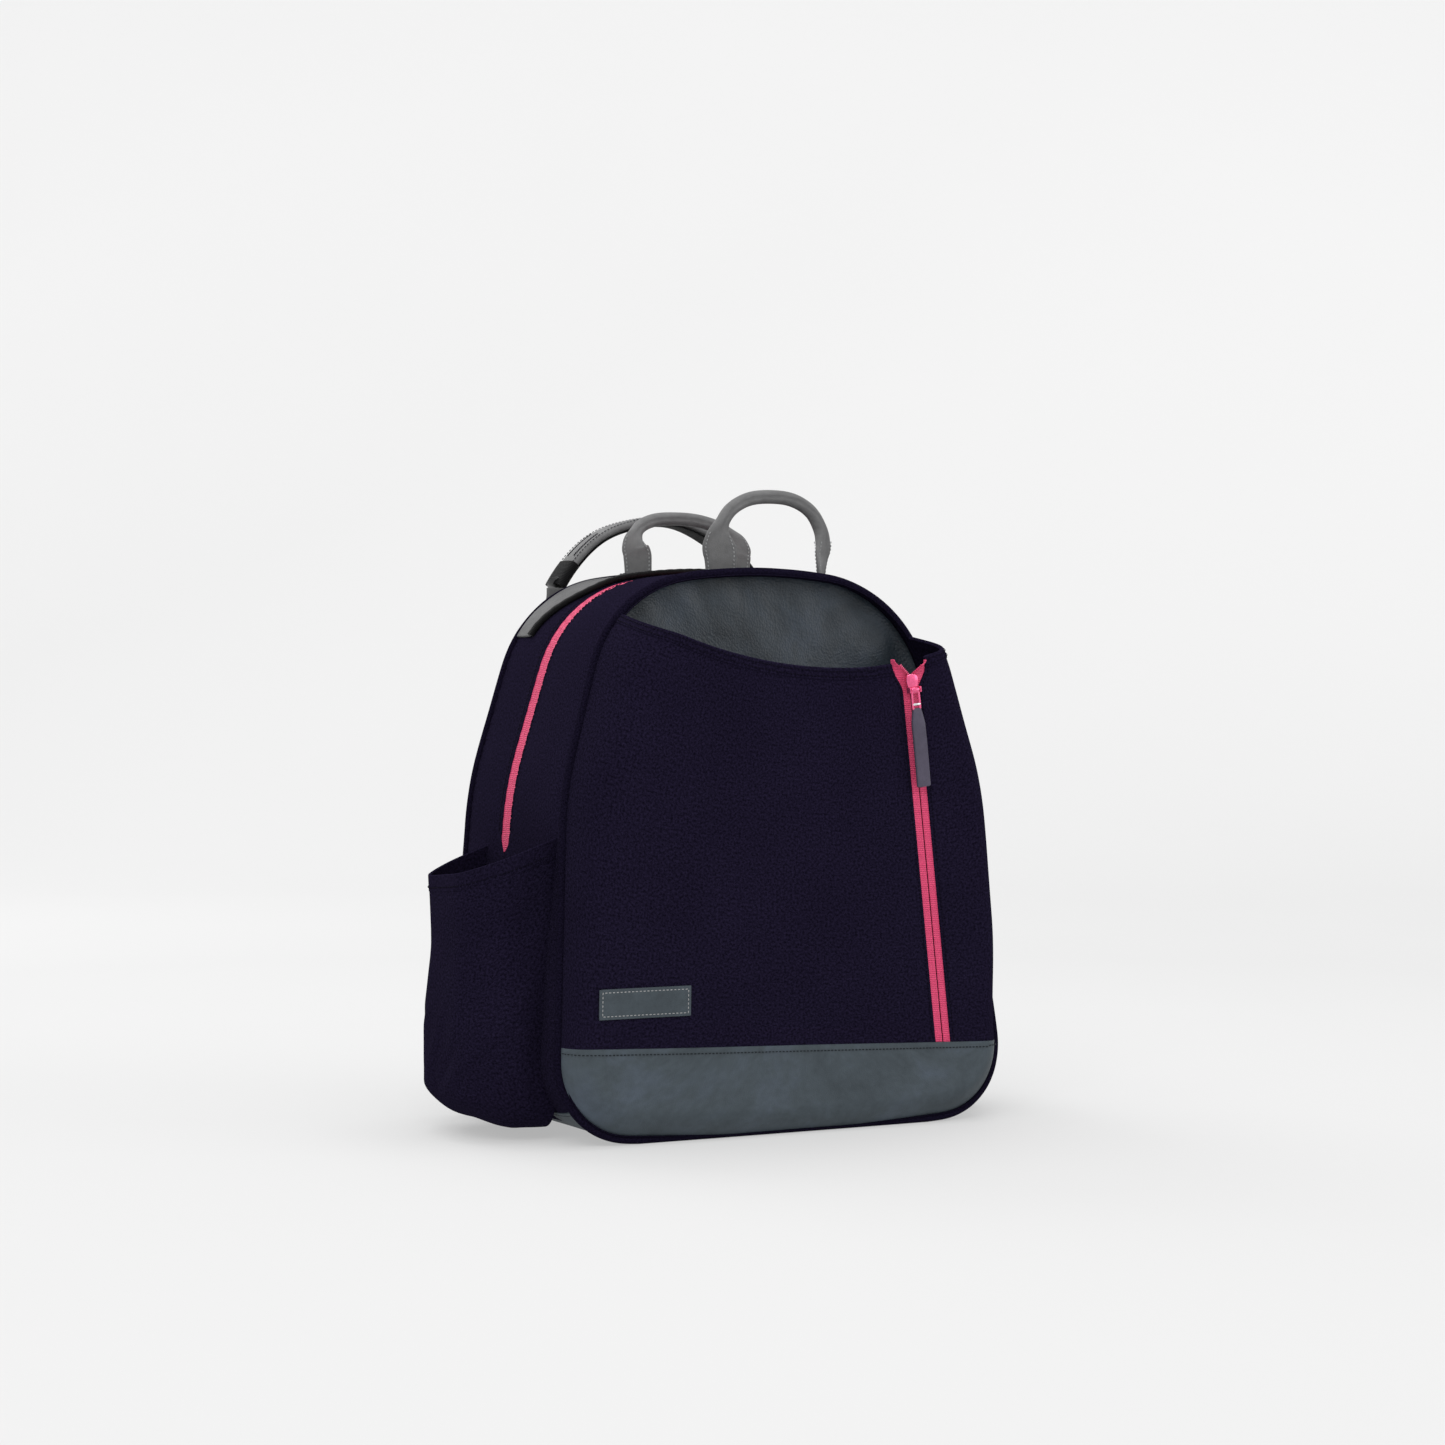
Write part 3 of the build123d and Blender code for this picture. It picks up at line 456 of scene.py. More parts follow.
def painted(name, colour, rough=0.35, metallic=0.0, coords="Object", coat=0.0, gloss=0.5):
    """Painted or plated metal, or moulded plastic, with faint handling marks."""
    s = Shader(name, colour, rough, coords, Metallic=metallic, Coat_Weight=coat, Specular_IOR_Level=gloss)
    marks = s.noise(700, 4)
    fine = s.noise(2600, 2)
    s.colour(s.ramp(marks, (0.25, shade(colour, 0.88)), (0.75, shade(colour, 1.08))))
    s.roughness(marks, max(0.05, rough - 0.07), rough + 0.1)
    s.bump((fine, 0.08, 0.1 * MM))
    return s.material


CANVAS = woven("canvas", (0.0096, 0.0074, 0.0190), 0.62 * MM, sheen=0.014)
TRIM = woven("dark_trim", (0.0070, 0.0054, 0.0140), 0.5 * MM, rough=0.75, sheen=0.012)
LINING = woven("lining", (0.023, 0.023, 0.028), 0.5 * MM, sheen=0.02, contrast=0.5)
GREY_LEATHER = hide("grey_leather", (0.053, 0.068, 0.080), 0.8 * MM, mottle=0.26, cool=1.1, bumpy=0.35)
# painted shade: the yoke is the foot's grey leather made darker for the shade in its recessed dish; its coarser grain,
# mottling and gloss are its own
YOKE_LEATHER_SHADED = hide("yoke_leather", (0.021, 0.030, 0.040), 1.6 * MM, rough=0.44, mottle=0.50, cool=1.1, bumpy=1.3,
                    gloss=0.36)
STRIP_LEATHER = hide("strip_leather", (0.088, 0.088, 0.091), 0.5 * MM, rough=0.6, mottle=0.22, bumpy=0.6)
HANDLE_LEATHER = hide("handle_leather", (0.145, 0.145, 0.147), 0.5 * MM, rough=0.58, mottle=0.24, bumpy=0.7)
BINDING = ribbed("black_binding", (0.0065, 0.0065, 0.0072), 1.3 * MM)
ZIP_TAPE = ribbed("zip_tape", (0.82, 0.074, 0.195), 1.6 * MM, rough=0.62, depth=0.45 * MM, gloss=0.3)
ZIP_COIL = painted("zip_coil", (0.62, 0.05, 0.15), 0.4)
PINK_METAL = painted("pink_metal", (0.80, 0.10, 0.25), 0.22, metallic=0.75, coat=0.6)
BRIGHT_METAL = painted("bright_metal", (0.78, 0.78, 0.80), 0.18, metallic=1.0)
PULL_RUBBER = hide("pull_rubber", (0.070, 0.062, 0.092), 0.5 * MM, coords="Object", rough=0.5, mottle=0.08, bumpy=0.25)
BACK_MESH = woven("back_mesh", (0.008, 0.008, 0.010), 1.4 * MM, rough=0.9, sheen=0.03, contrast=0.3,
                  tint=(0.6, 0.6, 0.7))
WEBBING = ribbed("webbing", (0.011, 0.011, 0.012), 1.6 * MM)
PLASTIC = painted("black_plastic", (0.016, 0.016, 0.018), 0.42)
BOARD = painted("stiff_board", (0.05, 0.05, 0.05), 0.7)
DARK_THREAD = painted("dark_thread", (0.014, 0.016, 0.019), 0.7, gloss=0.1)
BLACK_THREAD = painted("black_thread", (0.0050, 0.0038, 0.0095), 0.8, gloss=0.03)
GREY_THREAD = painted("grey_thread", (0.26, 0.265, 0.27), 0.6, gloss=0.3)


# ---- the bag's outline --------------------------------------------------------------------------
def read_outline():
    """The outline seen from the front, read from the back panel: evenly spaced (x, z), from the floor up."""
    flat = [Vector((v.co.x, v.co.z)) for v in frame["nodes"]["back_panel"].data.vertices]
    hull = np.array([flat[i] for i in geometry.convex_hull_2d(flat)])
    x, z = hull.T
    if np.sum(x * np.roll(z, -1) - np.roll(x, -1) * z) < 0:
        hull = hull[::-1]
    first = int(np.argmin(np.where(hull[:, 0] > 0, hull[:, 1] * 100 + hull[:, 0], 1e9)))
    hull = np.roll(hull, -first, 0)
    ring = np.concatenate([[(0, hull[0, 1])], hull, [(0, hull[0, 1])]])
    even = spaced(ring, 1501)[:-1]
    for _ in range(3):
        even = sum(np.roll(even, k, 0) for k in range(-5, 6)) / 11
    return np.concatenate([even, even[:1]])


OUTLINE = read_outline()
steps = np.linalg.norm(np.diff(OUTLINE, axis=0), axis=1)
OUTLINE_AT = np.concatenate([[0], np.cumsum(steps)])
LENGTH = OUTLINE_AT[-1]
tangent = unit(np.gradient(np.concatenate([OUTLINE[-3:-1], OUTLINE, OUTLINE[1:3]]), axis=0))[2:-2]
OUTLINE_NORMAL = np.stack([tangent[:, 1], -tangent[:, 0]], -1)


def outline(s):
    """x, z and the outward normal's x, z at distances s along the outline: 0 is under the bag."""
    s = np.mod(s, LENGTH)
    values = [np.interp(s, OUTLINE_AT, column) for column in (*OUTLINE.T, *OUTLINE_NORMAL.T)]
    return values


def outline_at(z, side):
    """Distance along the outline at a height on the right (1) or left (-1) side."""
    half = len(OUTLINE) // 2
    s = np.interp(z, OUTLINE[20:half, 1], OUTLINE_AT[20:half])
    return s if side > 0 else LENGTH - s


def outline_over(x):
    """Distance along the outline at a place on the crown."""
    half = len(OUTLINE) // 2
    top = slice(half - 330, half + 330)
    return np.interp(-np.asarray(x), -OUTLINE[top, 0], OUTLINE_AT[top])


def seam_y(z):
    """Depth of the front seam at a height."""
    return SEAM_FOOT_Y + SEAM_LEAN * z


def on_side(s, y, proud=0.0):
    """Points on the bag's side wall, at distances s along the outline and depths y."""
    x, z, nx, nz = outline(s)
    return np.stack(np.broadcast_arrays(x + nx * proud, y, z + nz * proud), -1)


# ---- the racket pocket's surface ----------------------------------------------------------------
def arc_through(a, b, c):
    """Centre and radius of the circle through three points."""
    (ax, ay), (bx, by), (cx, cy) = a, b, c
    d = 2 * (ax * (by - cy) + bx * (cy - ay) + cx * (ay - by))
    a2, b2, c2 = ax ** 2 + ay ** 2, bx ** 2 + by ** 2, cx ** 2 + cy ** 2
    ux = (a2 * (by - cy) + b2 * (cy - ay) + c2 * (ay - by)) / d
    uy = (a2 * (cx - bx) + b2 * (ax - cx) + c2 * (bx - ax)) / d
    return ux, uy, math.hypot(ax - ux, ay - uy)


SAG_X, SAG_Z, SAG_R = arc_through(MOUTH_LEFT, MOUTH_SAG, MOUTH_LOW)
low_out = unit([MOUTH_LOW[0] - SAG_X, MOUTH_LOW[1] - SAG_Z])
chord = np.array([MOUTH_RIGHT[0] - MOUTH_LOW[0], MOUTH_RIGHT[1] - MOUTH_LOW[1]])
RISE_R = -(chord @ chord) / (2 * chord @ low_out)
RISE_X, RISE_Z = MOUTH_LOW[0] - low_out[0] * RISE_R, MOUTH_LOW[1] - low_out[1] * RISE_R


def mouth_z(x):
    """Height of the pocket's mouth: two arcs that meet at its lowest point."""
    x = np.asarray(x, float)
    sag = SAG_Z - np.sqrt(np.maximum(SAG_R ** 2 - (x - SAG_X) ** 2, 0))
    rise = RISE_Z - np.sqrt(np.maximum(RISE_R ** 2 - (x - RISE_X) ** 2, 0))
    return np.where(x < MOUTH_LOW[0], sag, rise)


def seam_z(x):
    """Height of the seam between the pocket's cloth and its leather foot."""
    return SEAM_MIDDLE_Z + SEAM_SLOPE * np.asarray(x)


def zip_x(z):
    """Middle of the front zip at a height."""
    part = (np.asarray(z) - ZIP_FOOT[1]) / (ZIP_TOP[1] - ZIP_FOOT[1])
    return ZIP_FOOT[0] + part * (ZIP_TOP[0] - ZIP_FOOT[0])


def zip_edge(z, side):
    """Edge of the cloth beside the front zip, which spreads open above the slider."""
    spread = 8 * MM * smooth((np.asarray(z) - SLIDER_Z + 2 * MM) / (20 * MM))
    return zip_x(z) + side * (FRONT_ZIP_HALF - 0.4 * MM + spread)


def pocket_ring(s, phi):
    """The pocket's rounded side: phi is 0 at the front seam and a quarter turn where the flat front begins."""
    forward = np.sin(phi)
    inset = FLAT_INSET * (1 - np.cos(phi)) ** 1.45
    x, z, nx, nz = outline(s)
    # underneath and low on the right the side is flatter, so that the cord in the seam shows past it
    low_right = (1 - smooth((z - 60 * MM) / (100 * MM))) * smooth((x - 60 * MM) / (100 * MM))
    flatter = 0.66 * np.maximum(low_right, 0.85 * smooth(-nz * 1.2))
    inset = inset * (1 - flatter) + FLAT_INSET * forward * flatter
    x = x - nx * inset + FLAT_SHIFT * forward
    z = z - nz * inset
    y = seam_y(z) - forward * (POCKET_FOOT + POCKET_FLARE * z)
    return np.stack(np.broadcast_arrays(x, y, z), -1)


def relief(points):
    """How far the front cloth stands out of its plain shape, in soft swells; still beside the zip."""
    x, z = points[..., 0], points[..., 2]
    calm = smooth((np.abs(x - zip_x(z)) - 10 * MM) / (40 * MM))
    broad = ripple(points, 95 * MM, 3.1) * 1.5 * MM + ripple(points, 42 * MM, 7.7) * 0.45 * MM
    belly = 2.2 * MM * np.cos(np.clip((x + 20 * MM) / (190 * MM), -1, 1) * math.pi / 2) * smooth(z / 0.15)
    return calm * (broad + belly)


def front_points(x, z, proud=0.0):
    """Points on the pocket's flat front."""
    x, z = np.broadcast_arrays(np.asarray(x, float), np.asarray(z, float))
    y = seam_y(z) - POCKET_FOOT - POCKET_FLARE * z
    flat = np.stack([x, y, z], -1)
    flat[..., 1] -= relief(flat) + proud
    return flat


PHIS = np.linspace(0, math.pi / 2, 15)
MOUTH_LIFT = 10 * MM       # how far the mouth climbs as it nears the front seam


def crossing(side, curve, phi, lift=0.0):
    """Where the pocket's side at phi meets a curve z(x), raised near the seam, as a distance along the outline."""
    rise = lift * (1 - math.sin(phi)) ** 1.5
    low, high = outline_at(8 * MM, side), LENGTH / 2
    for _ in range(34):
        middle = (low + high) / 2
        x, _, z = pocket_ring(middle, phi)
        if z < curve(x) + rise:
            low = middle
        else:
            high = middle
    return middle


def pocket_row(side, curve, columns, proud=0.0, lift=0.0):
    """Points across one side of the pocket along a curve z(x): from the front seam to the zip's edge."""
    ring = np.array([pocket_ring(crossing(side, curve, phi, lift), phi) for phi in PHIS])
    edge = zip_edge(SLIDER_Z, side)
    for _ in range(12):
        edge = zip_edge(curve(edge), side)
    start = ring[-1, 0]
    x = np.linspace(start, edge, columns + 1)[1:]
    lean = unit(np.gradient(ring, axis=0))
    turn = np.cross(lean, (0, 0, 1)) * side
    out = unit(turn)
    out = out * np.sign(np.sum(out * (ring - np.array(CENTRE)), axis=-1, keepdims=True))
    swell = relief(ring)[:, None] * smooth(PHIS / (math.pi / 2))[:, None]
    ring = ring + out * (swell + proud)
    return np.concatenate([ring, front_points(x, curve(x), proud)])


def pocket_panel(side, low, high, rows, columns, proud=0.0, lifts=(0.0, MOUTH_LIFT)):
    """A grid over one side of the pocket between two curves."""
    def between(t):
        return lambda x: low(x) * (1 - t) + high(x) * t

    def lift(t):
        return lifts[0] + (lifts[1] - lifts[0]) * t
    return np.array([pocket_row(side, between(t), columns, proud, lift(t)) for t in np.linspace(0, 1, rows)])


def lowered(curve, drop):
    """A curve moved down."""
    return lambda x: curve(x) - drop


# ---- the bag's body -----------------------------------------------------------------------------
def pucker(s, distance, depth=0.45 * MM, pitch=11 * MM):
    """Little gathers along a seam, dying away from it."""
    beat = np.sin(s / pitch * 2 * math.pi + 2.2 * np.sin(s / (pitch * 5.3)))
    return depth * beat * np.exp(-np.abs(distance) / (6 * MM))


def side_wall(s, y_from, y_to, columns, proud=0.0):
    """A grid on the side wall between two depths given for every s, puffed out and gathered at its edges."""
    t = np.linspace(0, 1, columns)
    y = y_from[:, None] + (y_to - y_from)[:, None] * t
    grid = on_side(s[:, None], y)
    _, _, nx, nz = outline(s)
    out = np.stack([nx, np.zeros_like(nx), nz], -1)[:, None]
    wide = (y_to - y_from)[:, None]
    swell = 1.6 * MM * np.sin(math.pi * t) ** 0.7 * np.minimum(1, wide / 0.08)
    swell = swell + ripple(grid, 80 * MM, 1.3) * 1.3 * MM + ripple(grid, 34 * MM, 5.1) * 0.5 * MM
    swell = swell * smooth(np.minimum(t, 1 - t) * wide / (14 * MM))
    gather = pucker(s[:, None], t * wide) + pucker(s[:, None] + 4 * MM, (1 - t) * wide)
    return grid + out * (swell + gather * 0.7 + proud)[..., None]


def zip_lip(z, side):
    """Depth of the cloth's edge beside the main zip; below the zip's ends the two cloths meet."""
    return ZIP_Y + side * ZIP_HALF * smooth((z - FOLD_Z + 6 * MM) / (16 * MM))


wall_s = np.linspace(outline_at(14 * MM, 1), outline_at(14 * MM, -1), 420)
wall_z = outline(wall_s)[1]
SEAM_TUCK = 3.4 * MM       # the side cloth ends just behind the cord in the front seam
front_strip = side_wall(wall_s, seam_y(wall_z) + SEAM_TUCK, zip_lip(wall_z, -1), 44)
dress(cloth("side_cloth_front", front_strip), CANVAS, FLAP,
      stands_for=["front_gusset", "front_fold"])
rear_strip = side_wall(wall_s, zip_lip(wall_z, 1), np.full_like(wall_z, BACK_Y - 3 * MM), 30, proud=-0.2 * MM)
dress(cloth("side_cloth_rear", rear_strip), CANVAS, "root",
      stands_for=["rear_gusset", "side_panel_left", "side_panel_right"])

# a line of stitches on each side of the main zip
zip_s = np.linspace(outline_at(FOLD_Z + 16 * MM, 1), outline_at(FOLD_Z + 16 * MM, -1), 500)
_, _, nx, nz = outline(zip_s)
zip_out = np.stack([nx, np.zeros_like(nx), nz], -1)
for name, y, moves_with in (("front", ZIP_Y - ZIP_HALF - 2.4 * MM, FLAP),
                            ("rear", ZIP_Y + ZIP_HALF + 2.4 * MM, "root")):
    row = stitches(f"zip_stitches_{name}", on_side(zip_s, y, 0.75 * MM), zip_out)
    dress(row, BLACK_THREAD, moves_with)

# the leather base, wrapped a little way up the sides and highest beside the front seam
base_s = np.linspace(outline_at(BASE_WRAP_Z, -1) - LENGTH, outline_at(BASE_WRAP_Z, 1), 200)
base_z = outline(base_s)[1]
base_columns = np.linspace(0, 1, 40)
base_y0, base_y1 = seam_y(base_z) + SEAM_TUCK, np.full_like(base_z, BACK_Y - 3 * MM)
base_y = base_y0[:, None] + (base_y1 - base_y0)[:, None] * base_columns
rise = 12 * MM * np.exp(-base_columns * 8)
stretch = np.sign(base_s)[:, None] * rise * smooth((np.abs(base_s[:, None]) - 0.14) / 0.05)
base_grid = on_side(base_s[:, None] + stretch, base_y, 0.9 * MM)
base_lift = ripple(base_grid, 40 * MM, 2.0) * 0.5 * MM * smooth(base_grid[..., 2] / (8 * MM))
_, _, nx, nz = outline(base_s[:, None] + stretch)
base_grid += np.stack([nx, np.zeros_like(nx), nz], -1) * base_lift[..., None]
base_grid[..., 2] = np.maximum(base_grid[..., 2], 0.2 * MM)
dress(cloth("base_leather", base_grid), GREY_LEATHER, "root", stands_for=["base_panel"])
for side in (-1, 1):
    edge = base_grid[-1 if side > 0 else 0]
    inward = unit(base_grid[-6 if side > 0 else 5] - edge)
    out = np.tile([side, 0, 0.05], (len(edge), 1))
    row = stitches(f"base_stitches_{'left' if side < 0 else 'right'}", edge + inward * 2.6 * MM, out)
    dress(row, DARK_THREAD, "root")

# corded piping in the front seam and the back seam
CORD_R, FRONT_CORD_R = 2.6 * MM, 3.5 * MM
ring_s = np.linspace(0, LENGTH, 640, endpoint=False)
x, z, nx, nz = outline(ring_s)
ring_out = np.stack([nx, np.zeros_like(nx), nz], -1)
ring_side = np.cross(unit(np.stack([-nz, np.zeros_like(nx), nx], -1)), ring_out)
for name, y, cord_r, moves_with, nodes in (
    ("front_cord", seam_y(z) + 0.1 * MM, FRONT_CORD_R, FLAP, ["front_piping_lower", "front_piping_upper"]),
    ("rear_cord", np.full_like(z, BACK_Y - 2.5 * MM), CORD_R, "root", ["rear_piping"]),
):
    wobble = ripple(np.stack([x, y, z], -1), 26 * MM, 9.0) * 0.25 * MM
    centres = on_side(ring_s, y, 0.0) + ring_out * (0.3 * MM + wobble)[:, None]
    centres[:, 2] = np.maximum(centres[:, 2], cord_r + 0.1 * MM)
    cord_body = loft(name, centres, ring_side, ring_out, oval(cord_r, cord_r, 20), closed=True)
    flange = loft(name + "_flange", on_side(ring_s, y, -2.0 * MM), ring_side, ring_out,
                  oval(cord_r + 1.2 * MM, 0.7 * MM, 12, 3.0), closed=True)
    dress(join(name, cord_body, flange), TRIM, moves_with, nodes)


# ---- panels that fan in from the outline --------------------------------------------------------
def fan_panel(ends, ring, goal, columns, rows, phis=PHIS):
    """A panel whose columns run in from the outline, round a curved rim, to the points of a straight seam."""
    t = np.linspace(0, 1, columns)
    grid = []
    for phi in phis:
        first, last = ends(phi)
        grid.append(ring(first + (last - first) * t, phi))
    rim, target = grid[-1], goal(t)
    for k in range(1, rows + 1):
        grid.append(rim + (target - rim) * k / rows)
    return np.array(grid)


def foot_ends(phi):
    """Where the leather foot's seam meets the pocket's side, right and left."""
    right, left = crossing(1, seam_z, phi), crossing(-1, seam_z, phi)
    return right, left - LENGTH


def foot_goal(t):
    """Points along the seam between cloth and leather, from right to left."""
    right, left = (pocket_ring(crossing(side, seam_z, PHIS[-1]), PHIS[-1])[0] for side in (1, -1))
    x = right + (left - right) * t
    z = seam_z(x)
    return np.stack([x, seam_y(z) - POCKET_FOOT - POCKET_FLARE * z, z], -1)


foot = fan_panel(foot_ends, pocket_ring, foot_goal, 240, 22)
foot_depth = np.minimum(1, np.arange(len(foot)) / len(PHIS))[:, None]
foot_soft = (relief(foot) + ripple(foot, 30 * MM, 4.4) * 0.35 * MM) * foot_depth
foot[..., 1] -= foot_soft + 0.9 * MM * foot_depth
foot[..., 2] = np.maximum(foot[..., 2], 0.25 * MM)
dress(cloth("leather_foot", foot, 1.8 * MM), GREY_LEATHER, "root", stands_for=["bottom_band"])

# its seam's stitches run across the flat front and round both corners to the cord
last = len(PHIS) - 1
turned = [np.stack([np.cos(PHIS) * side, -np.sin(PHIS), PHIS * 0], -1)[2:last] for side in (1, -1)]
corners = [foot[2:last, column] + normals * 1.15 * MM for column, normals in zip((2, -3), turned)]
seam_x = np.linspace(foot[last, 2, 0], foot[last, -3, 0], 300)
seam_row = front_points(seam_x, seam_z(seam_x) - 3.9 * MM, 1.6 * MM)
seam_row = np.concatenate([corners[0], seam_row, corners[1][::-1]])
seam_out = np.concatenate([turned[0], np.tile([0, -1, 0], (300, 1)), turned[1][::-1]])
dress(stitches("foot_stitches", seam_row, seam_out, pitch=3.0 * MM, long=2.1 * MM), DARK_THREAD,
      "root")

# the front wall behind the racket pocket, and the dished leather yoke above it
WALL_DEEP, DISH_INSET = 8 * MM, 15 * MM


def dish_ring(s, phi):
    """The rim of the front wall: from the front seam back to the flat wall."""
    inset = 1.2 * MM + DISH_INSET * (1 - np.cos(phi)) ** 1.2
    x, z, nx, nz = outline(s)
    x, z = x - nx * inset, z - nz * inset
    y = seam_y(z) + 1.5 * MM + WALL_DEEP * np.sin(phi)
    return np.stack(np.broadcast_arrays(x, y, z), -1)


def dish_row(z):
    """Points across the flat wall at one height, right to left."""
    def goal(t):
        edge = dish_ring(outline_at(z, 1), PHIS[-1])[0] * (1 - 2 * t)
        return np.stack([edge, np.full_like(t, seam_y(z) + 1.5 * MM + WALL_DEEP), np.full_like(t, z)], -1)
    return goal


def above_yoke_line(phi):
    """Where the yoke's lower edge meets the outline."""
    return outline_at(YOKE_Z, 1), outline_at(YOKE_Z, -1)


def below_yoke_line(phi):
    """The same two places, going round under the bag."""
    return outline_at(YOKE_Z, 1), outline_at(YOKE_Z, -1) - LENGTH


yoke = fan_panel(above_yoke_line, dish_ring, dish_row(YOKE_Z), 190, 26)
yoke_depth = smooth(np.arange(len(yoke)) / 14)[:, None]
near_rim = np.exp(-((np.arange(len(yoke)) - 13) / 7.0) ** 2)[:, None]
creases = np.sin(yoke[..., 0] / (5.5 * MM) + 2.5 * ripple(yoke, 30 * MM, 1.0)) * 0.45 * MM * near_rim
yoke_soft = ripple(yoke, 60 * MM, 6.0) * 2.2 * MM + ripple(yoke, 22 * MM, 2.5) * 0.9 * MM
yoke[..., 1] -= yoke_soft * yoke_depth + creases
# the yoke's leather carries painted shade for the dish
dress(cloth("yoke_panel", yoke), YOKE_LEATHER_SHADED, "front_flap", stands_for=["front_yoke"])
wall = fan_panel(below_yoke_line, dish_ring, dish_row(YOKE_Z), 150, 60)
dress(cloth("front_wall", wall), LINING, FLAP,
      stands_for=["front_wall_lower", "front_wall_upper"])

# ---- the racket pocket's cloth ------------------------------------------------------------------
HEM = 8 * MM
for side, word, nodes in (
    (-1, "left", ["pocket_upper_left", "pocket_lower_left", "pocket_fold"]),
    (1, "right", ["pocket_upper_right", "pocket_lower_right"]),
):
    columns = 86 if side < 0 else 16
    panel = pocket_panel(side, lowered(seam_z, 3 * MM), lowered(mouth_z, 1 * MM), 120, columns)
    dress(cloth(f"pocket_cloth_{word}", panel), CANVAS, FLAP, stands_for=nodes)
    hem = pocket_panel(side, lowered(mouth_z, HEM), mouth_z, 7, columns, proud=0.9 * MM,
                       lifts=(MOUTH_LIFT, MOUTH_LIFT))
    hem_piece = cloth(f"mouth_hem_{word}", hem, 3.2 * MM)
    if side < 0:
        dress(hem_piece, CANVAS, "front_flap", stands_for=["mouth_binding"])
    else:
        dress(hem_piece, CANVAS, "front_flap")
    for k, drop in enumerate((2.0 * MM, 6.0 * MM)):
        row = pocket_row(side, lowered(mouth_z, drop), 120, proud=1.35 * MM, lift=MOUTH_LIFT)
        dress(stitches(f"hem_stitches_{word}_{k}", row, row * (1, 0.4, 0) - (0, 0.05, 0), pitch=3.0 * MM,
                       long=2.2 * MM), BLACK_THREAD, "front_flap")
    edge_z = np.linspace(seam_z(zip_x(0.07)) + 3 * MM, mouth_z(0.1) - 4 * MM, 300)
    edge_row = front_points(zip_edge(edge_z, side) + side * 2.2 * MM, edge_z, 0.35 * MM)
    dress(stitches(f"front_zip_stitches_{word}", edge_row, np.tile([0, -1, 0], (300, 1)), pitch=3.0 * MM,
                   long=2.1 * MM, radius=0.36 * MM), BLACK_THREAD, FLAP)

# ---- the front zip ------------------------------------------------------------------------------
TOOTH = 1.25 * MM


def tape_spread(z):
    """How far the two tapes' teeth have parted above the slider."""
    return 11 * MM * smooth((z - SLIDER_Z - 9 * MM) / (13 * MM)) ** 0.9


zip_top = float(mouth_z(zip_x(0.35))) + 1.0 * MM
tape_z = np.arange(seam_z(zip_x(0.07)) - 2 * MM, zip_top, TOOTH / 3)
for side, word in ((-1, "left"), (1, "right")):
    inner = zip_x(tape_z) + side * (0.6 * MM + tape_spread(tape_z))
    outer = zip_edge(tape_z, side) + side * 2.5 * MM * (1 - smooth((tape_z - zip_top + 16 * MM) / (12 * MM)))
    inner = inner + (outer - inner) * 0.85 * smooth((tape_z - zip_top + 8 * MM) / (8 * MM)) ** 2
    t = np.linspace(0, 1, 9)
    tape_x = inner[:, None] + (outer - inner)[:, None] * t
    rib = 0.16 * MM * np.sin(tape_z / TOOTH * 2 * math.pi)[:, None] * (1 - smooth((t - 0.75) / 0.2))
    bead = 0.55 * MM * np.exp(-((t - 0.1) / 0.13) ** 2)
    tape = front_points(tape_x, tape_z[:, None], rib + bead - 1.0 * MM)
    curl = tape_spread(tape_z)[:, None] * (1 - t) * 0.35
    tape[..., 1] -= curl
    piece = cloth(f"front_zip_tape_{word}", tape, 0.9 * MM, sharp=70)
    if side < 0:
        dress(piece, ZIP_TAPE, FLAP, stands_for=["pocket_zip_lower", "pocket_zip_upper"])
    else:
        dress(piece, ZIP_TAPE, FLAP)
    # the teeth show along the open stretch above the slider
    open_z = np.arange(SLIDER_Z + 5 * MM, zip_top - 3.5 * MM, TOOTH * 1.25)
    row_x = zip_x(open_z) + side * (0.2 * MM + tape_spread(open_z))
    teeth_path = front_points(row_x, open_z, 0.3 * MM)
    teeth_path[:, 1] -= tape_spread(open_z) * 0.35
    fine = spaced(teeth_path, 60)
    dress(stitches(f"front_zip_teeth_{word}", fine, np.tile([0, -1, 0], (60, 1)), pitch=TOOTH * 1.3,
                   long=1.1 * MM, radius=1.15 * MM), ZIP_COIL, "front_flap")
# a dark backing behind the slit
slit_z = np.linspace(tape_z[0], SLIDER_Z, 90)
backing = front_points(zip_x(slit_z)[:, None] + np.linspace(-3, 3, 5) * MM, slit_z[:, None], -2.6 * MM)
dress(cloth("front_zip_backing", backing, 0.8 * MM), TRIM, FLAP)

# ---- the main zip -------------------------------------------------------------------------------
def main_tape(name, side, low_z, moves_with, node):
    """One ribbed tape of the main zip, from end to end over the crown."""
    first, last = outline_at(low_z, 1), outline_at(low_z, -1)
    s = np.arange(first, last, TOOTH / 3)
    y = ZIP_Y + side * np.linspace(0.35 * MM, ZIP_HALF + 1.5 * MM, 8)
    rib = 0.14 * MM * np.sin(s / TOOTH * 2 * math.pi)
    bead = 0.5 * MM * np.exp(-((np.abs(y - ZIP_Y) - 1 * MM) / (0.9 * MM)) ** 2)
    grid = on_side(s[:, None], y[None], (rib[:, None] + bead[None] - 0.9 * MM))
    dress(cloth(name, grid, 0.9 * MM, sharp=70), ZIP_TAPE, moves_with, [node])


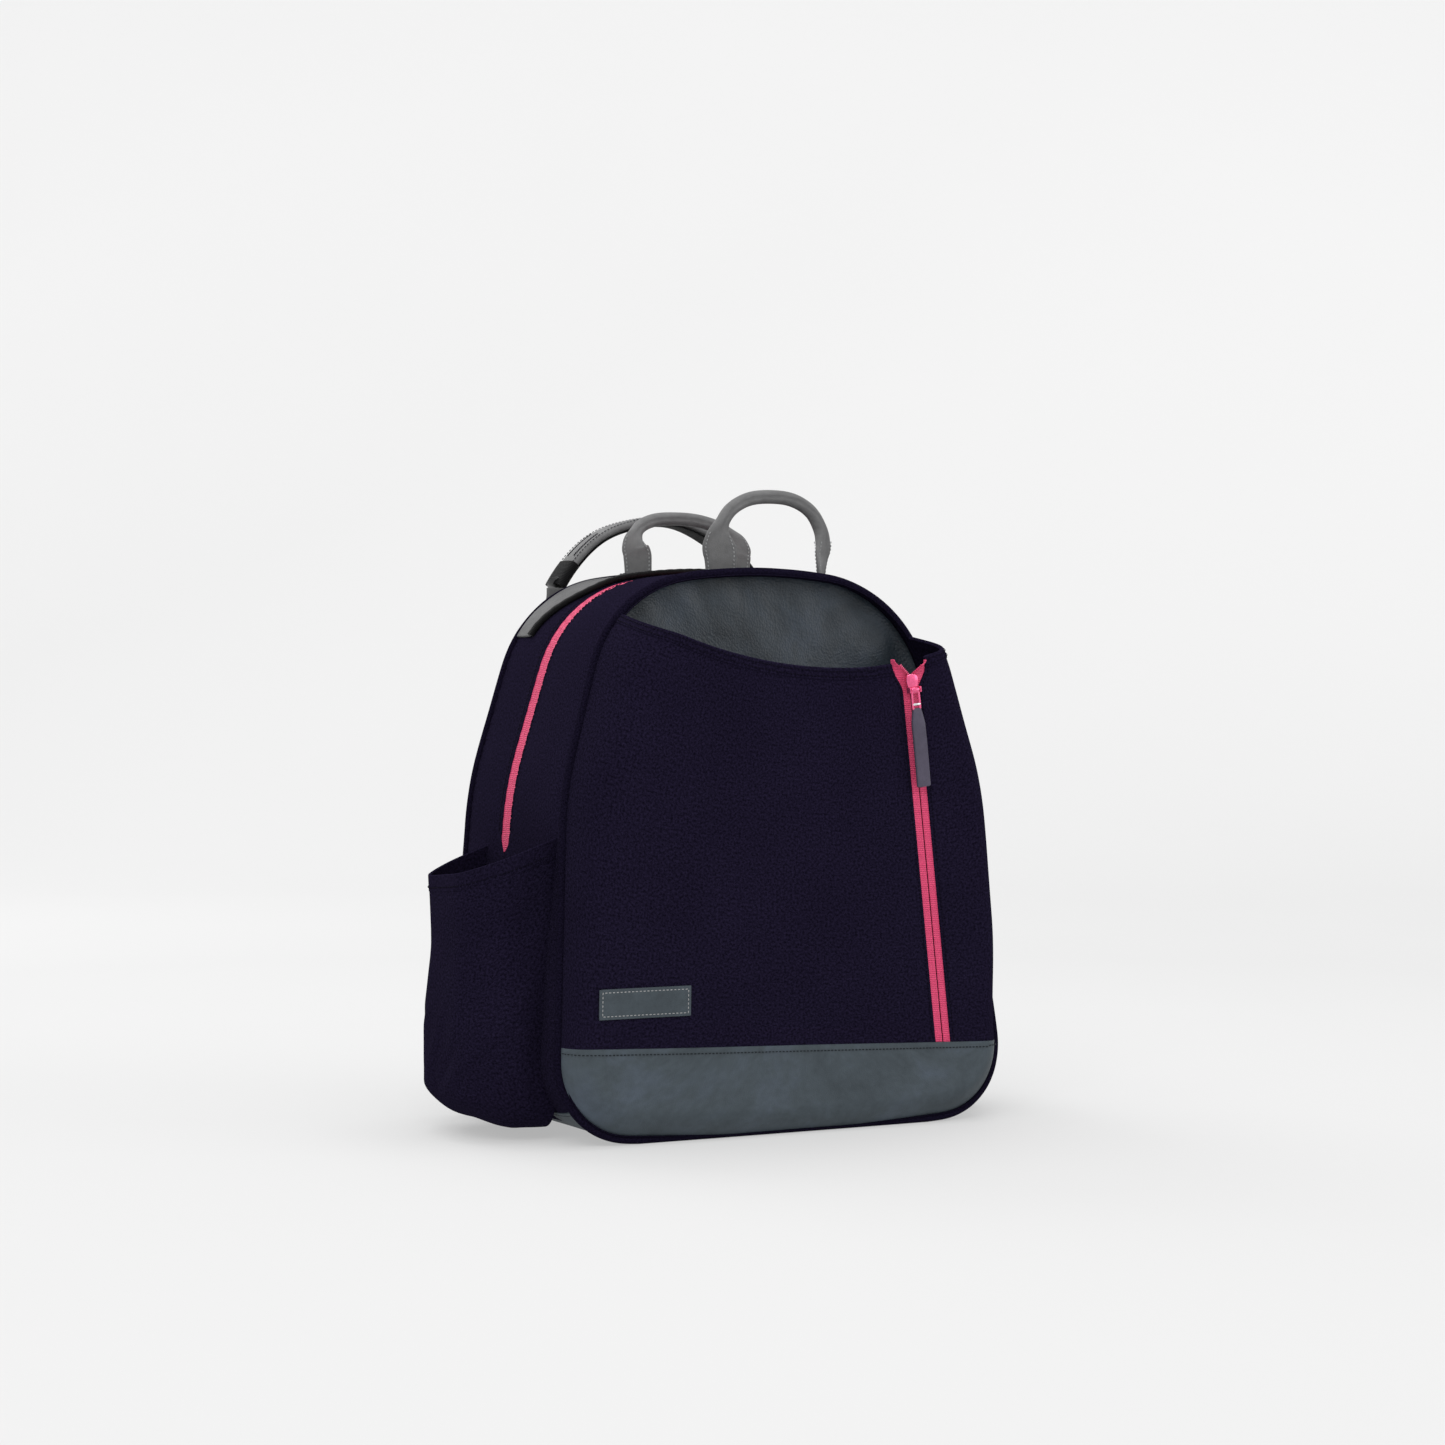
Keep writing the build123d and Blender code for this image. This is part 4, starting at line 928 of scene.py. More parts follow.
main_tape("main_tape_front", -1, FOLD_Z + 1 * MM, FLAP, "main_zip_tape_front")
main_tape("main_tape_rear", 1, FOLD_Z, "root", "main_zip_tape_rear")
for name, side, moves_with, node in (("front", -1, FLAP, "main_zip_coil_front"),
                                     ("rear", 1, "root", "main_zip_coil_rear")):
    s = np.arange(outline_at(FOLD_Z + 3 * MM, 1), outline_at(FOLD_Z + 3 * MM, -1), TOOTH / 2)
    _, _, nx, nz = outline(s)
    out = np.stack([nx, np.zeros_like(nx), nz], -1)
    swell = 1 + 0.25 * np.sin(s / TOOTH * 2 * math.pi)
    rings = oval(1.1 * MM, 0.9 * MM, 8)[None] * swell[:, None, None]
    path = on_side(s, ZIP_Y + side * 1.3 * MM, -2.9 * MM)
    dress(loft(f"main_coil_{name}", path, np.tile([0, 1, 0], (len(s), 1)), out, rings), ZIP_COIL,
          moves_with, [node])

# ---- the label ----------------------------------------------------------------------------------
label_low, label_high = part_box("label_patch")
label_x = np.linspace(label_low.x, label_high.x, 60)
label_z = np.linspace(label_low.z, label_high.z, 24)
edge_x = np.minimum(label_x - label_x[0], label_x[-1] - label_x)[None]
edge_z = np.minimum(label_z - label_z[0], label_z[-1] - label_z)[:, None]
crown = 1.5 * MM + 0.25 * MM * smooth(np.minimum(edge_x, edge_z) / (3 * MM))
stitch_groove = 0.25 * MM * np.exp(-((np.minimum(edge_x, edge_z) - 2.2 * MM) / (0.7 * MM)) ** 2)
label = front_points(label_x[None], label_z[:, None], crown - stitch_groove)
dress(cloth("label", label, 1.3 * MM), GREY_LEATHER, "root", stands_for=["label_patch"])
border = np.array([
    (label_low.x, label_low.z), (label_high.x, label_low.z), (label_high.x, label_high.z),
    (label_low.x, label_high.z), (label_low.x, label_low.z)
])
middle = np.array([(label_low.x + label_high.x) / 2, (label_low.z + label_high.z) / 2])
border = spaced(border - np.sign(border - middle) * 2.2 * MM, 400)
row = front_points(border[:, 0], border[:, 1], 1.55 * MM)
dress(stitches("label_stitches", row, np.tile([0, -1, 0], (400, 1)), pitch=3.1 * MM, long=2.1 * MM),
      GREY_THREAD, "root")

# ---- the side pockets ---------------------------------------------------------------------------
HEM_DEEP = 12 * MM
POCKET_FLOOR = 9 * MM
RIM_X, RIM_Y, RIM_Z = 178 * MM, -66 * MM, 226 * MM      # a point on the sloping rim
RIM_FALL_OUT, RIM_FALL_BACK = 0.36, 0.09                # how the rim falls outwards and backwards


def rim_z(x, y):
    """Height of a side pocket's rim above a point."""
    return RIM_Z - RIM_FALL_OUT * (np.abs(x) - RIM_X) - RIM_FALL_BACK * (y - RIM_Y)


def cup_path(side, reach, corner, z, inset, front_y, rear_y):
    """Points round a side pocket at one height: out from the bag, along its face and back in."""
    start = outline(outline_at(z, 1))[0] - 2.5 * MM
    r = max(corner - inset, 4 * MM)
    far, near_y, back_y = reach - inset, front_y + inset, rear_y - inset
    turn = np.linspace(0, math.pi / 2, 15)
    run = np.linspace(0, 1, 12)[:-1]
    lead_x = start + (far - r - start) * run
    face = (near_y + r) + (back_y - near_y - 2 * r) * np.linspace(0, 1, 14)[1:-1]
    x = np.concatenate([lead_x, far - r + r * np.sin(turn), np.full(12, far), far - r + r * np.cos(turn),
                        lead_x[::-1]])
    y = np.concatenate([np.full(11, near_y), near_y + r - r * np.cos(turn), face,
                        back_y - r + r * np.sin(turn), np.full(11, back_y)])
    path = spaced(np.stack([x, y], -1), 110)
    return path * (side, 1)


def side_pocket(side, word, reach, corner, slack):
    """One bottle pocket: its cloth from the rim down and under, and the hem round the rim."""
    low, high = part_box(f"side_pocket_{word}")
    front_y, rear_y = low.y + 0.5 * MM, high.y - 0.5 * MM
    bend = 21 * MM
    wall_foot = POCKET_FLOOR + bend

    def row(t, drop=0.0):
        """A row of points: t from 0 at the rim to 1 at the wall's foot."""
        guess = cup_path(side, reach, corner, 0.2 * (1 - t) + wall_foot * t, 0, front_y, rear_y)
        z = (rim_z(guess[:, 0], guess[:, 1]) - drop) * (1 - t) + wall_foot * t
        return np.concatenate([guess, z[:, None]], 1)

    rows = [row(t) for t in np.linspace(0, 1, 56)]
    for a in np.linspace(0, math.pi / 2, 12)[1:]:
        z = wall_foot - bend * math.sin(a)
        flat = cup_path(side, reach, corner, wall_foot, bend * (1 - math.cos(a)), front_y, rear_y)
        rows.append(np.concatenate([flat, np.full((len(flat), 1), z)], 1))
    for inset in np.linspace(bend, 60 * MM, 14)[1:]:
        flat = cup_path(side, reach, corner, wall_foot, inset, front_y, rear_y)
        rows.append(np.concatenate([flat, np.full((len(flat), 1), POCKET_FLOOR)], 1))
    grid = np.array(rows)
    z = grid[..., 2]
    height = np.clip((z - POCKET_FLOOR) / (RIM_Z - POCKET_FLOOR), 0, 1)
    u = np.linspace(0, 1, grid.shape[1])[None]
    free = smooth(u / 0.12) * smooth((1 - u) / 0.12)
    out = np.stack([np.gradient(grid[..., 1], axis=1), -np.gradient(grid[..., 0], axis=1), z * 0], -1)
    out = unit(out) * side
    waist = -2.6 * np.exp(-((height - 0.62) / 0.13) ** 2) + 3.0 * np.exp(-((height - 0.30) / 0.2) ** 2)
    broad = ripple(grid, 75 * MM, 11.0 + side) * 3.4 + ripple(grid, 34 * MM, 2.2) * 1.1
    lean = u * 1.3 + height
    folds = 0
    for place, deep, wide in ((0.62, 1.9, 0.035), (0.80, -1.5, 0.030), (0.98, 1.6, 0.045), (1.22, -1.2, 0.04)):
        line = lean - place + 0.05 * np.sin(height * 9 + place * 7)
        folds = folds + deep * np.exp(-(line / wide) ** 2) * np.exp(-((height - 0.22) / 0.24) ** 2)
    rim_calm = 0.25 + 0.75 * smooth((1 - height) / 0.12)
    gathers = 0.5 * np.sin(u * 150 + 3 * np.sin(u * 31)) * np.exp(-((height - 0.11) / 0.07) ** 2)
    push = (waist * slack + broad * rim_calm + folds * slack + gathers) * MM * free
    grid = grid + out * push[..., None]
    grid[..., 2] += ripple(grid, 30 * MM, 8.0) * 1.2 * MM * (z < wall_foot) * free
    grid[..., 2] += 10 * MM * slack * smooth((side * grid[..., 0] - 200 * MM) / (34 * MM)) * (
        1 - smooth((height - 0.04) / 0.30))
    grid[..., 2] = np.maximum(grid[..., 2], 4 * MM)
    inside = (side * 0.2, -3 * MM, 0.12)
    piece = cloth(f"side_pocket_{word}_cloth", grid, 1.8 * MM, away_from=inside)
    dress(piece, CANVAS, "root", stands_for=[f"side_pocket_{word}"])
    # the hem follows the cloth's top rows, standing a little proud of them
    count = int(np.argmax(grid[0, 55, 2] - grid[:, 55, 2] > HEM_DEEP)) + 1
    t = np.linspace(0, count - 1, 9)
    top_rows = np.stack([grid[int(k)] * (1 - k % 1) + grid[min(int(k) + 1, count)] * (k % 1) for k in t])
    hem_out = out[:9] * 0 + out[0]
    hem_grid = top_rows + hem_out * 0.35 * MM
    hem = cloth(f"side_pocket_{word}_hem", hem_grid, 2.5 * MM, away_from=inside)
    dress(hem, CANVAS, "root", stands_for=["side_pocket_hems"] if side < 0 else ())
    thread = hem_grid[6, 2:-2] + hem_out[6, 2:-2] * 0.3 * MM
    dress(stitches(f"side_pocket_{word}_stitches", thread, hem_out[6, 2:-2], pitch=3.2 * MM, long=2.3 * MM),
          BLACK_THREAD, "root")


side_pocket(-1, "left", 241 * MM, 44 * MM, 1.0)
side_pocket(1, "right", 211 * MM, 28 * MM, 0.5)

# ---- the back -----------------------------------------------------------------------------------
back_t = np.linspace(0, 1, 110)
back_z = 3.2 * MM + (TOP_Z - 6.4 * MM) * (1 - np.cos(back_t * math.pi)) / 2
back_half = outline(outline_at(back_z, 1))[0] - 2.2 * MM
back_half = np.maximum(back_half, 2 * MM)
across = np.linspace(-1, 1, 90)
back_x = back_half[:, None] * across
back_grid = np.stack(np.broadcast_arrays(back_x, BACK_Y - 2.2 * MM, back_z[:, None]), -1).copy()
edge = np.minimum(1, (1 - np.abs(across))[None] * back_half[:, None] / (16 * MM))
back_grid[..., 1] += (ripple(back_grid, 70 * MM, 4.0) * 0.9 * MM + 1.2 * MM) * smooth(edge)
dress(cloth("back_cloth", back_grid, 2.2 * MM), CANVAS, "root", stands_for=["back_panel"])


def cushion(name, low, high, corner, channels, material):
    """A padded back piece: a crowned rounded rectangle with stitched channels across it, bound at its edge."""
    cx, cz = (low.x + high.x) / 2, (low.z + high.z) / 2
    half_x, half_z, thick = (high.x - low.x) / 2, (high.z - low.z) / 2, high.y - low.y
    t = np.sin(np.linspace(-1, 1, 61) * math.pi / 2) * 0.999
    u, v = np.meshgrid(t, t)
    # a square of parameters squeezed to a rounded rectangle
    x, z = u * half_x, v * half_z
    over_x, over_z = np.maximum(np.abs(x) - (half_x - corner), 0), np.maximum(np.abs(z) - (half_z - corner), 0)
    reach = np.hypot(over_x, over_z)
    pull = np.where(reach > 0, np.maximum(over_x, over_z) / np.maximum(reach, 1e-9), 1.0)
    x = np.sign(x) * (np.minimum(np.abs(x), half_x - corner) + over_x * pull)
    z = np.sign(z) * (np.minimum(np.abs(z), half_z - corner) + over_z * pull)
    rise = (1 - np.abs(u) ** 5) ** 0.6 * (1 - np.abs(v) ** 5) ** 0.6
    for place in channels:
        rise = rise * (1 - 0.42 * np.exp(-((z / half_z - place) * half_z / (3.2 * MM)) ** 2))
    points = np.stack([cx + x, low.y + 0.6 * MM + (thick - 0.6 * MM) * rise, cz + z], -1)
    points[..., 1] += ripple(points, 26 * MM, 3.0) * 0.5 * MM * rise
    pad = cloth(name, points, 1.2 * MM, away_from=(cx, low.y - 0.05, cz), sharp=60)
    dress(pad, material, "root", stands_for=[name.replace("_cushion", "")])
    # its bound edge
    edge = np.concatenate([points[0, :-1], points[:-1, -1], points[-1, :0:-1], points[:0:-1, 0]])
    edge = spaced(np.concatenate([edge, edge[:1]]), 241)[:-1]
    ahead = unit(np.roll(edge, -1, 0) - np.roll(edge, 1, 0))
    up = np.tile([0.0, 1.0, 0.0], (len(edge), 1))
    trim = loft(name + "_binding", edge + up * 0.8 * MM, np.cross(ahead, up), up, oval(2.6 * MM, 1.5 * MM, 12, 2.6),
                closed=True)
    dress(trim, BINDING, "root")


for word in ("left", "right"):
    pad_low, pad_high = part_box(f"back_pad_{word}")
    cushion(f"back_pad_{word}_cushion", pad_low, pad_high, 22 * MM, (-0.5, 0, 0.5), BACK_MESH)
pad_low, pad_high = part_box("lumbar_pad")
cushion("lumbar_pad_cushion", pad_low, pad_high, 24 * MM, (0,), BACK_MESH)

# the laptop sleeve inside the bag, sewn to the back at both sides and open at its top
sleeve_low, sleeve_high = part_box("laptop_sleeve")
sleeve_r = 14 * MM
turn = np.linspace(0, math.pi / 2, 9)
sleeve_x = np.concatenate([
    [sleeve_low.x], sleeve_low.x + sleeve_r * (1 - np.cos(turn)),
    np.linspace(sleeve_low.x + sleeve_r, sleeve_high.x - sleeve_r, 60)[1:-1],
    sleeve_high.x - sleeve_r * (1 - np.cos(turn[::-1])), [sleeve_high.x]
])
sleeve_y = np.concatenate([
    [sleeve_high.y], sleeve_low.y + sleeve_r * (1 - np.sin(turn)), np.full(58, sleeve_low.y),
    sleeve_low.y + sleeve_r * (1 - np.sin(turn[::-1])), [sleeve_high.y]
])
sleeve_z = np.linspace(sleeve_low.z + 1 * MM, sleeve_high.z, 50)[:, None]
sleeve = np.stack(np.broadcast_arrays(sleeve_x[None], sleeve_y[None], sleeve_z), -1).copy()
on_face = sleeve_y[None] < sleeve_low.y + 1e-4
sleeve[..., 1] -= np.clip(ripple(sleeve, 60 * MM, 5.5) * 1.5 * MM, -1.5 * MM, 1.5 * MM) * on_face
piece = cloth("laptop_sleeve_cloth", sleeve, 4 * MM, away_from=(0, 0.3, 0.15))
dress(piece, LINING, "root", stands_for=["laptop_sleeve"])
rim_line = spaced(sleeve[-1], 160)
rim_side, rim_up = frames_along(rim_line, (0, 0, 1))
dress(loft("laptop_sleeve_binding", rim_line - rim_up * 1.5 * MM + (0, 1.8 * MM, 0), rim_side, rim_up,
           oval(3.1 * MM, 3.4 * MM, 12, 3.0)), BINDING, "root")

# ---- leather over the rear of the crown ---------------------------------------------------------
yoke_low, yoke_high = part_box("strap_yoke")
YOKE_HALF = yoke_high.x
strip_s = np.linspace(outline_over(YOKE_HALF), outline_over(-YOKE_HALF), 240)
strip_x = outline(strip_s)[0]
end_share = smooth((np.abs(strip_x) - 88 * MM) / (46 * MM))
strip_front = yoke_low.y - 1.5 * MM + 30 * MM * end_share + 1.2 * MM * np.sin(strip_x / (21 * MM))
strip_rear = np.full_like(strip_x, BACK_Y - 5 * MM)
t = np.linspace(0, 1, 26)
strip_y = strip_front[:, None] + (strip_rear - strip_front)[:, None] * t
strip_soft = ripple(on_side(strip_s[:, None], strip_y), 34 * MM, 6.6) * 0.8 * MM
strip_grid = on_side(strip_s[:, None], strip_y)
_, _, nx, nz = outline(strip_s)
strip_out = np.stack([nx, np.zeros_like(nx), nz], -1)
lift = 2.3 * MM + strip_soft * smooth(t / 0.2) + 1.6 * MM * np.exp(-t * 7)[None]
strip_grid += strip_out[:, None] * lift[..., None]
dress(cloth("yoke_leather_strip", strip_grid, 2.0 * MM), STRIP_LEATHER, "root",
      stands_for=["strap_yoke"])
front_edge = strip_grid[:, 0]
edge_up = unit(strip_out)
edge_side = unit(np.cross(unit(np.gradient(front_edge, axis=0)), edge_up))
wave_up = 1 + 0.06 * np.sin(np.arange(len(front_edge)) * 0.9)
bind_rings = oval(3.4 * MM, 2.1 * MM, 14, 2.8)[None] * wave_up[:, None, None]
dress(loft("yoke_binding", front_edge - edge_up * 0.9 * MM, edge_side, edge_up, bind_rings), BINDING,
      "root")
thread = strip_grid[:, 3] + strip_out * 0.35 * MM
dress(stitches("yoke_stitches", thread, strip_out, pitch=3.2 * MM, long=2.3 * MM), BLACK_THREAD,
      "root")

plate_low, plate_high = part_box("back_yoke")
plate_x = np.linspace(plate_low.x, plate_high.x, 100)
plate_top = outline(outline_over(plate_x))[1] - 4.5 * MM
t = np.linspace(0, 1, 30)[:, None]
plate_z = plate_low.z + (plate_top - plate_low.z)[None] * t
plate = np.stack(np.broadcast_arrays(plate_x[None], plate_high.y + 0.2 * MM, plate_z), -1).copy()
plate[..., 1] += ripple(plate, 40 * MM, 7.0) * 0.4 * MM
dress(cloth("back_yoke_leather", plate, 2.3 * MM), HANDLE_LEATHER, "root",
      stands_for=["back_yoke"])
row = np.concatenate([plate[::-1, 1], plate[1, 2:-2], plate[:, -2]]) + (0, 0.2 * MM, 0)
dress(stitches("back_yoke_stitches", row, np.tile([0, 1, 0], (len(row), 1)), pitch=3.2 * MM, long=2.3 * MM),
      BLACK_THREAD, "root")


# ---- carry handles ------------------------------------------------------------------------------
ROLL = 5.4 * MM


def carry_handle(node, body, parent, turns, seed, height=1.0, lean=0.0, foot=1.0):
    """A strip of leather, flat where it is sewn down and rolled into a cord over the hand."""
    low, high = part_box(node)
    cx, cy = (low.x + high.x) / 2, (low.y + high.y) / 2
    foot_z, top_z = low.z + ROLL, high.z - ROLL
    half, tall = (high.x - low.x) / 2 - ROLL, top_z - foot_z
    shape = [(-0.93, 0.0), (-0.95, 0.08), (-0.985, 0.26), (-0.95, 0.50), (-0.76, 0.78), (-0.42, 0.955), (0, 1.0)]
    shape = [(x, lean * max(0, z) ** 2, z * height) for x, z in shape]
    shape = shape + [(-x, y, z) for x, y, z in shape[-2::-1]]
    points = [(cx + x * half, cy + y, foot_z + z * tall) for x, y, z in shape]
    for end, sign in ((0, -1), (-1, 1)):
        foot_x = cx + sign * half * 0.93
        points[end] = (foot_x, cy, float(outline(outline_over(foot_x))[1]) - 1.5 * MM)
    path = spline(points, 180)
    travel = travelled(path)
    from_foot = np.minimum(travel, travel[-1] - travel)
    flat = 1 - smooth((from_foot - 17 * MM) / (27 * MM))
    swell = np.exp(-((from_foot - 24 * MM) / (11 * MM)) ** 2)
    wide = ROLL + (12.2 * MM * foot - ROLL) * flat ** 0.8 + 1.6 * MM * swell * flat ** 0.3 * foot ** 6
    thick = ROLL + (1.7 * MM - ROLL) * flat ** 0.7
    thick = thick * (1 - 0.07 * np.sin(travel / (9 * MM) + seed) * (1 - flat))
    along = unit(np.gradient(path, axis=0))
    in_plane = unit(np.cross(along, (0, 1, 0)))
    first = travel < travel[-1] / 2
    twist = np.radians(np.where(first, turns[0], turns[1])) * smooth(1 - from_foot / (75 * MM))
    depth = np.tile([0.0, 1.0, 0.0], (len(path), 1))
    across = in_plane * np.cos(twist)[:, None] + depth * np.sin(twist)[:, None]
    up = np.cross(across, along)
    ring = oval(1, 1, 28, 2.0)
    square = oval(1, 1, 28, 3.4)
    mix = flat[:, None, None]
    rings = (ring[None] * (1 - mix) + square[None] * mix) * np.stack([wide, thick], -1)[:, None]
    angle = np.arctan2(ring[:, 1], ring[:, 0])
    # the seam where the two edges of the strip meet under the roll
    groove = 1 - 0.16 * np.exp(-((np.abs(angle + math.pi / 2)) / 0.17) ** 2)[None] * (1 - flat)[:, None]
    # a flat strip cups a little
    cup = -1.6 * MM * (rings[..., 0] / wide[:, None]) ** 2 * flat[:, None]
    rings = rings * groove[..., None]
    rings[..., 1] += cup
    handle = loft(f"{node}_strap", path, across, up, rings, sharp=60)
    # the straps dip into the crown at both feet; the bend given for them is not applied, so they stay where they are
    # built
    bend = (parent, body, (0, cy, foot_z - 4 * MM), (0, cy, foot_z + 15 * MM))
    dress(handle, HANDLE_LEATHER, bend, stands_for=[node])
    for k, (start, end) in enumerate(((3, 52), (len(path) - 53, len(path) - 4))):
        for edge in (-1, 1):
            for face in (-1, 1):
                lay = face * (thick[start:end] * 0.84 + 0.12 * MM) - 1.05 * MM * flat[start:end]
                keep = flat[start:end] > 0.35
                line = (path[start:end] + across[start:end] * (edge * 0.81 * wide[start:end])[:, None]
                        + up[start:end] * lay[:, None])[keep]
                row = stitches(f"{node}_stitches_{k}{edge + 1}{face + 1}", line, (up[start:end] * face)[keep],
                               pitch=2.9 * MM, long=2.0 * MM)
                dress(row, GREY_THREAD, bend)
    # a patch of leather round each foot, sewn to the crown
    patches = []
    for sign in (-1, 1):
        foot_x = cx + sign * half * 0.94
        half_wide, half_deep = 14.5 * MM, 7.5 * MM if body == "front_handle" else 10 * MM
        proud = (0.6 if body == "front_handle" else 3.0) * MM
        t = np.linspace(-1, 1, 25)
        s = outline_over(foot_x + t * half_wide)
        y = cy + np.linspace(-1, 1, 17) * half_deep
        round_off = 1 - (np.abs(t)[:, None] ** 6 + np.abs(np.linspace(-1, 1, 17))[None] ** 6) * 0.35
        grid = on_side(s[:, None], y[None], proud + 1.2 * MM * round_off)
        patches.append(cloth(f"{node}_patch{sign + 1}", grid, 1.8 * MM))
        inner = np.concatenate([grid[2, 2:-2], grid[2:-2, -3], grid[-3, -3:1:-1], grid[-3:1:-1, 2]])
        _, _, ox, oz = outline(outline_over(foot_x))
        row = stitches(f"{node}_patch_stitches{sign + 1}", inner + np.array([ox, 0, oz]) * 0.2 * MM,
                       np.tile([float(ox), 0, float(oz)], (len(inner), 1)), pitch=2.9 * MM, long=2.0 * MM)
        dress(row, BLACK_THREAD, parent)
    dress(join(f"{node}_foot_patches", *patches), HANDLE_LEATHER, parent,
          stands_for=[node + "_feet"])


carry_handle("front_handle", "front_handle", "front_flap", (20, 52), 0.4)
carry_handle("rear_handle", "rear_handle", "root", (26, -30), 1.9, height=0.74, lean=22 * MM, foot=0.88)

# the padded loop over the back, bound black at its ends
loop_low, loop_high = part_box("top_loop")
loop_half, loop_y = loop_high.x - 4 * MM, (loop_low.y + loop_high.y) / 2
loop_rise = loop_high.z - 4 * MM - (loop_low.z + 3 * MM)
turn = np.linspace(-1, 1, 120)
radius = (loop_half ** 2 + loop_rise ** 2) / (2 * loop_rise)
reach_angle = math.asin(loop_half / radius)
loop_line = np.stack([
    radius * np.sin(turn * reach_angle), np.full_like(turn, loop_y) + 1.5 * MM * np.sin(turn * 5),
    loop_low.z + 3 * MM + loop_rise - radius * (1 - np.cos(turn * reach_angle)) + 0.8 * MM * np.sin(turn * 9)
], -1)
loop_wide = 14.2 * MM - 2.4 * MM * np.exp(-(turn / 0.4) ** 2)
loop_thick = 3.6 * MM + 0.4 * MM * np.exp(-(turn / 0.5) ** 2)
loop_across = np.tile([0.0, 1.0, 0.0], (120, 1))
loop_up = np.cross(loop_across, unit(np.gradient(loop_line, axis=0))) * -1
loop_up *= np.sign(loop_up[60, 2])
loop_rings = oval(1, 1, 28, 2.7)[None] * np.stack([loop_wide, loop_thick], -1)[:, None]
loop_bend = ("root", "top_loop", (0, loop_y, loop_low.z + 3 * MM), (0, loop_y, loop_low.z + 23 * MM))
dress(loft("top_loop_strap", loop_line, loop_across, loop_up, loop_rings, sharp=60), HANDLE_LEATHER,
      loop_bend, stands_for=["top_loop"])
under_rings = oval(1, 1, 20, 4.0)[None] * np.stack([loop_wide - 1.2 * MM, np.full(120, 0.9 * MM)], -1)[:, None]
dress(loft("top_loop_lining", loop_line - loop_up * (loop_thick - 0.1 * MM)[:, None], loop_across, loop_up,
           under_rings), BINDING, loop_bend)
for sign, word in ((-1, "front"), (1, "rear")):
    line = loop_line + loop_across * (sign * (loop_wide - 2.1 * MM))[:, None]
    line = line + loop_up * (loop_thick * 0.86)[:, None]
    dress(stitches(f"top_loop_stitches_{word}", line[3:-3], loop_up[3:-3], pitch=3.1 * MM, long=2.2 * MM),
          BLACK_THREAD, loop_bend)
for sign, word in ((-1, "left"), (1, "right")):
    part = slice(0, 13) if sign < 0 else slice(-13, None)
    cover_size = np.stack([loop_wide[part], loop_thick[part]], -1) + 0.9 * MM
    cover = oval(1, 1, 24, 3.2)[None] * cover_size[:, None]
    dress(loft(f"top_loop_end_{word}", loop_line[part], loop_across[part], loop_up[part], cover), BINDING,
          loop_bend)
    part = slice(15, 30) if sign < 0 else slice(-30, -15)
    at = np.linspace(0, 14, 60)
    line = np.stack([np.interp(at, np.arange(15), loop_line[part][:, k]) for k in range(3)], -1)
    out = np.stack([np.interp(at, np.arange(15), loop_up[part][:, k]) for k in range(3)], -1)
    for lane in (-6, 6):
        place = line + out * 3.7 * MM + np.array([0, 1, 0]) * lane * MM
        dress(stitches(f"top_loop_bar_{word}_{lane + 6}", place, out, pitch=1.7 * MM, long=2.9 * MM, radius=0.5 * MM,
                       slant=1.1), BLACK_THREAD, loop_bend)


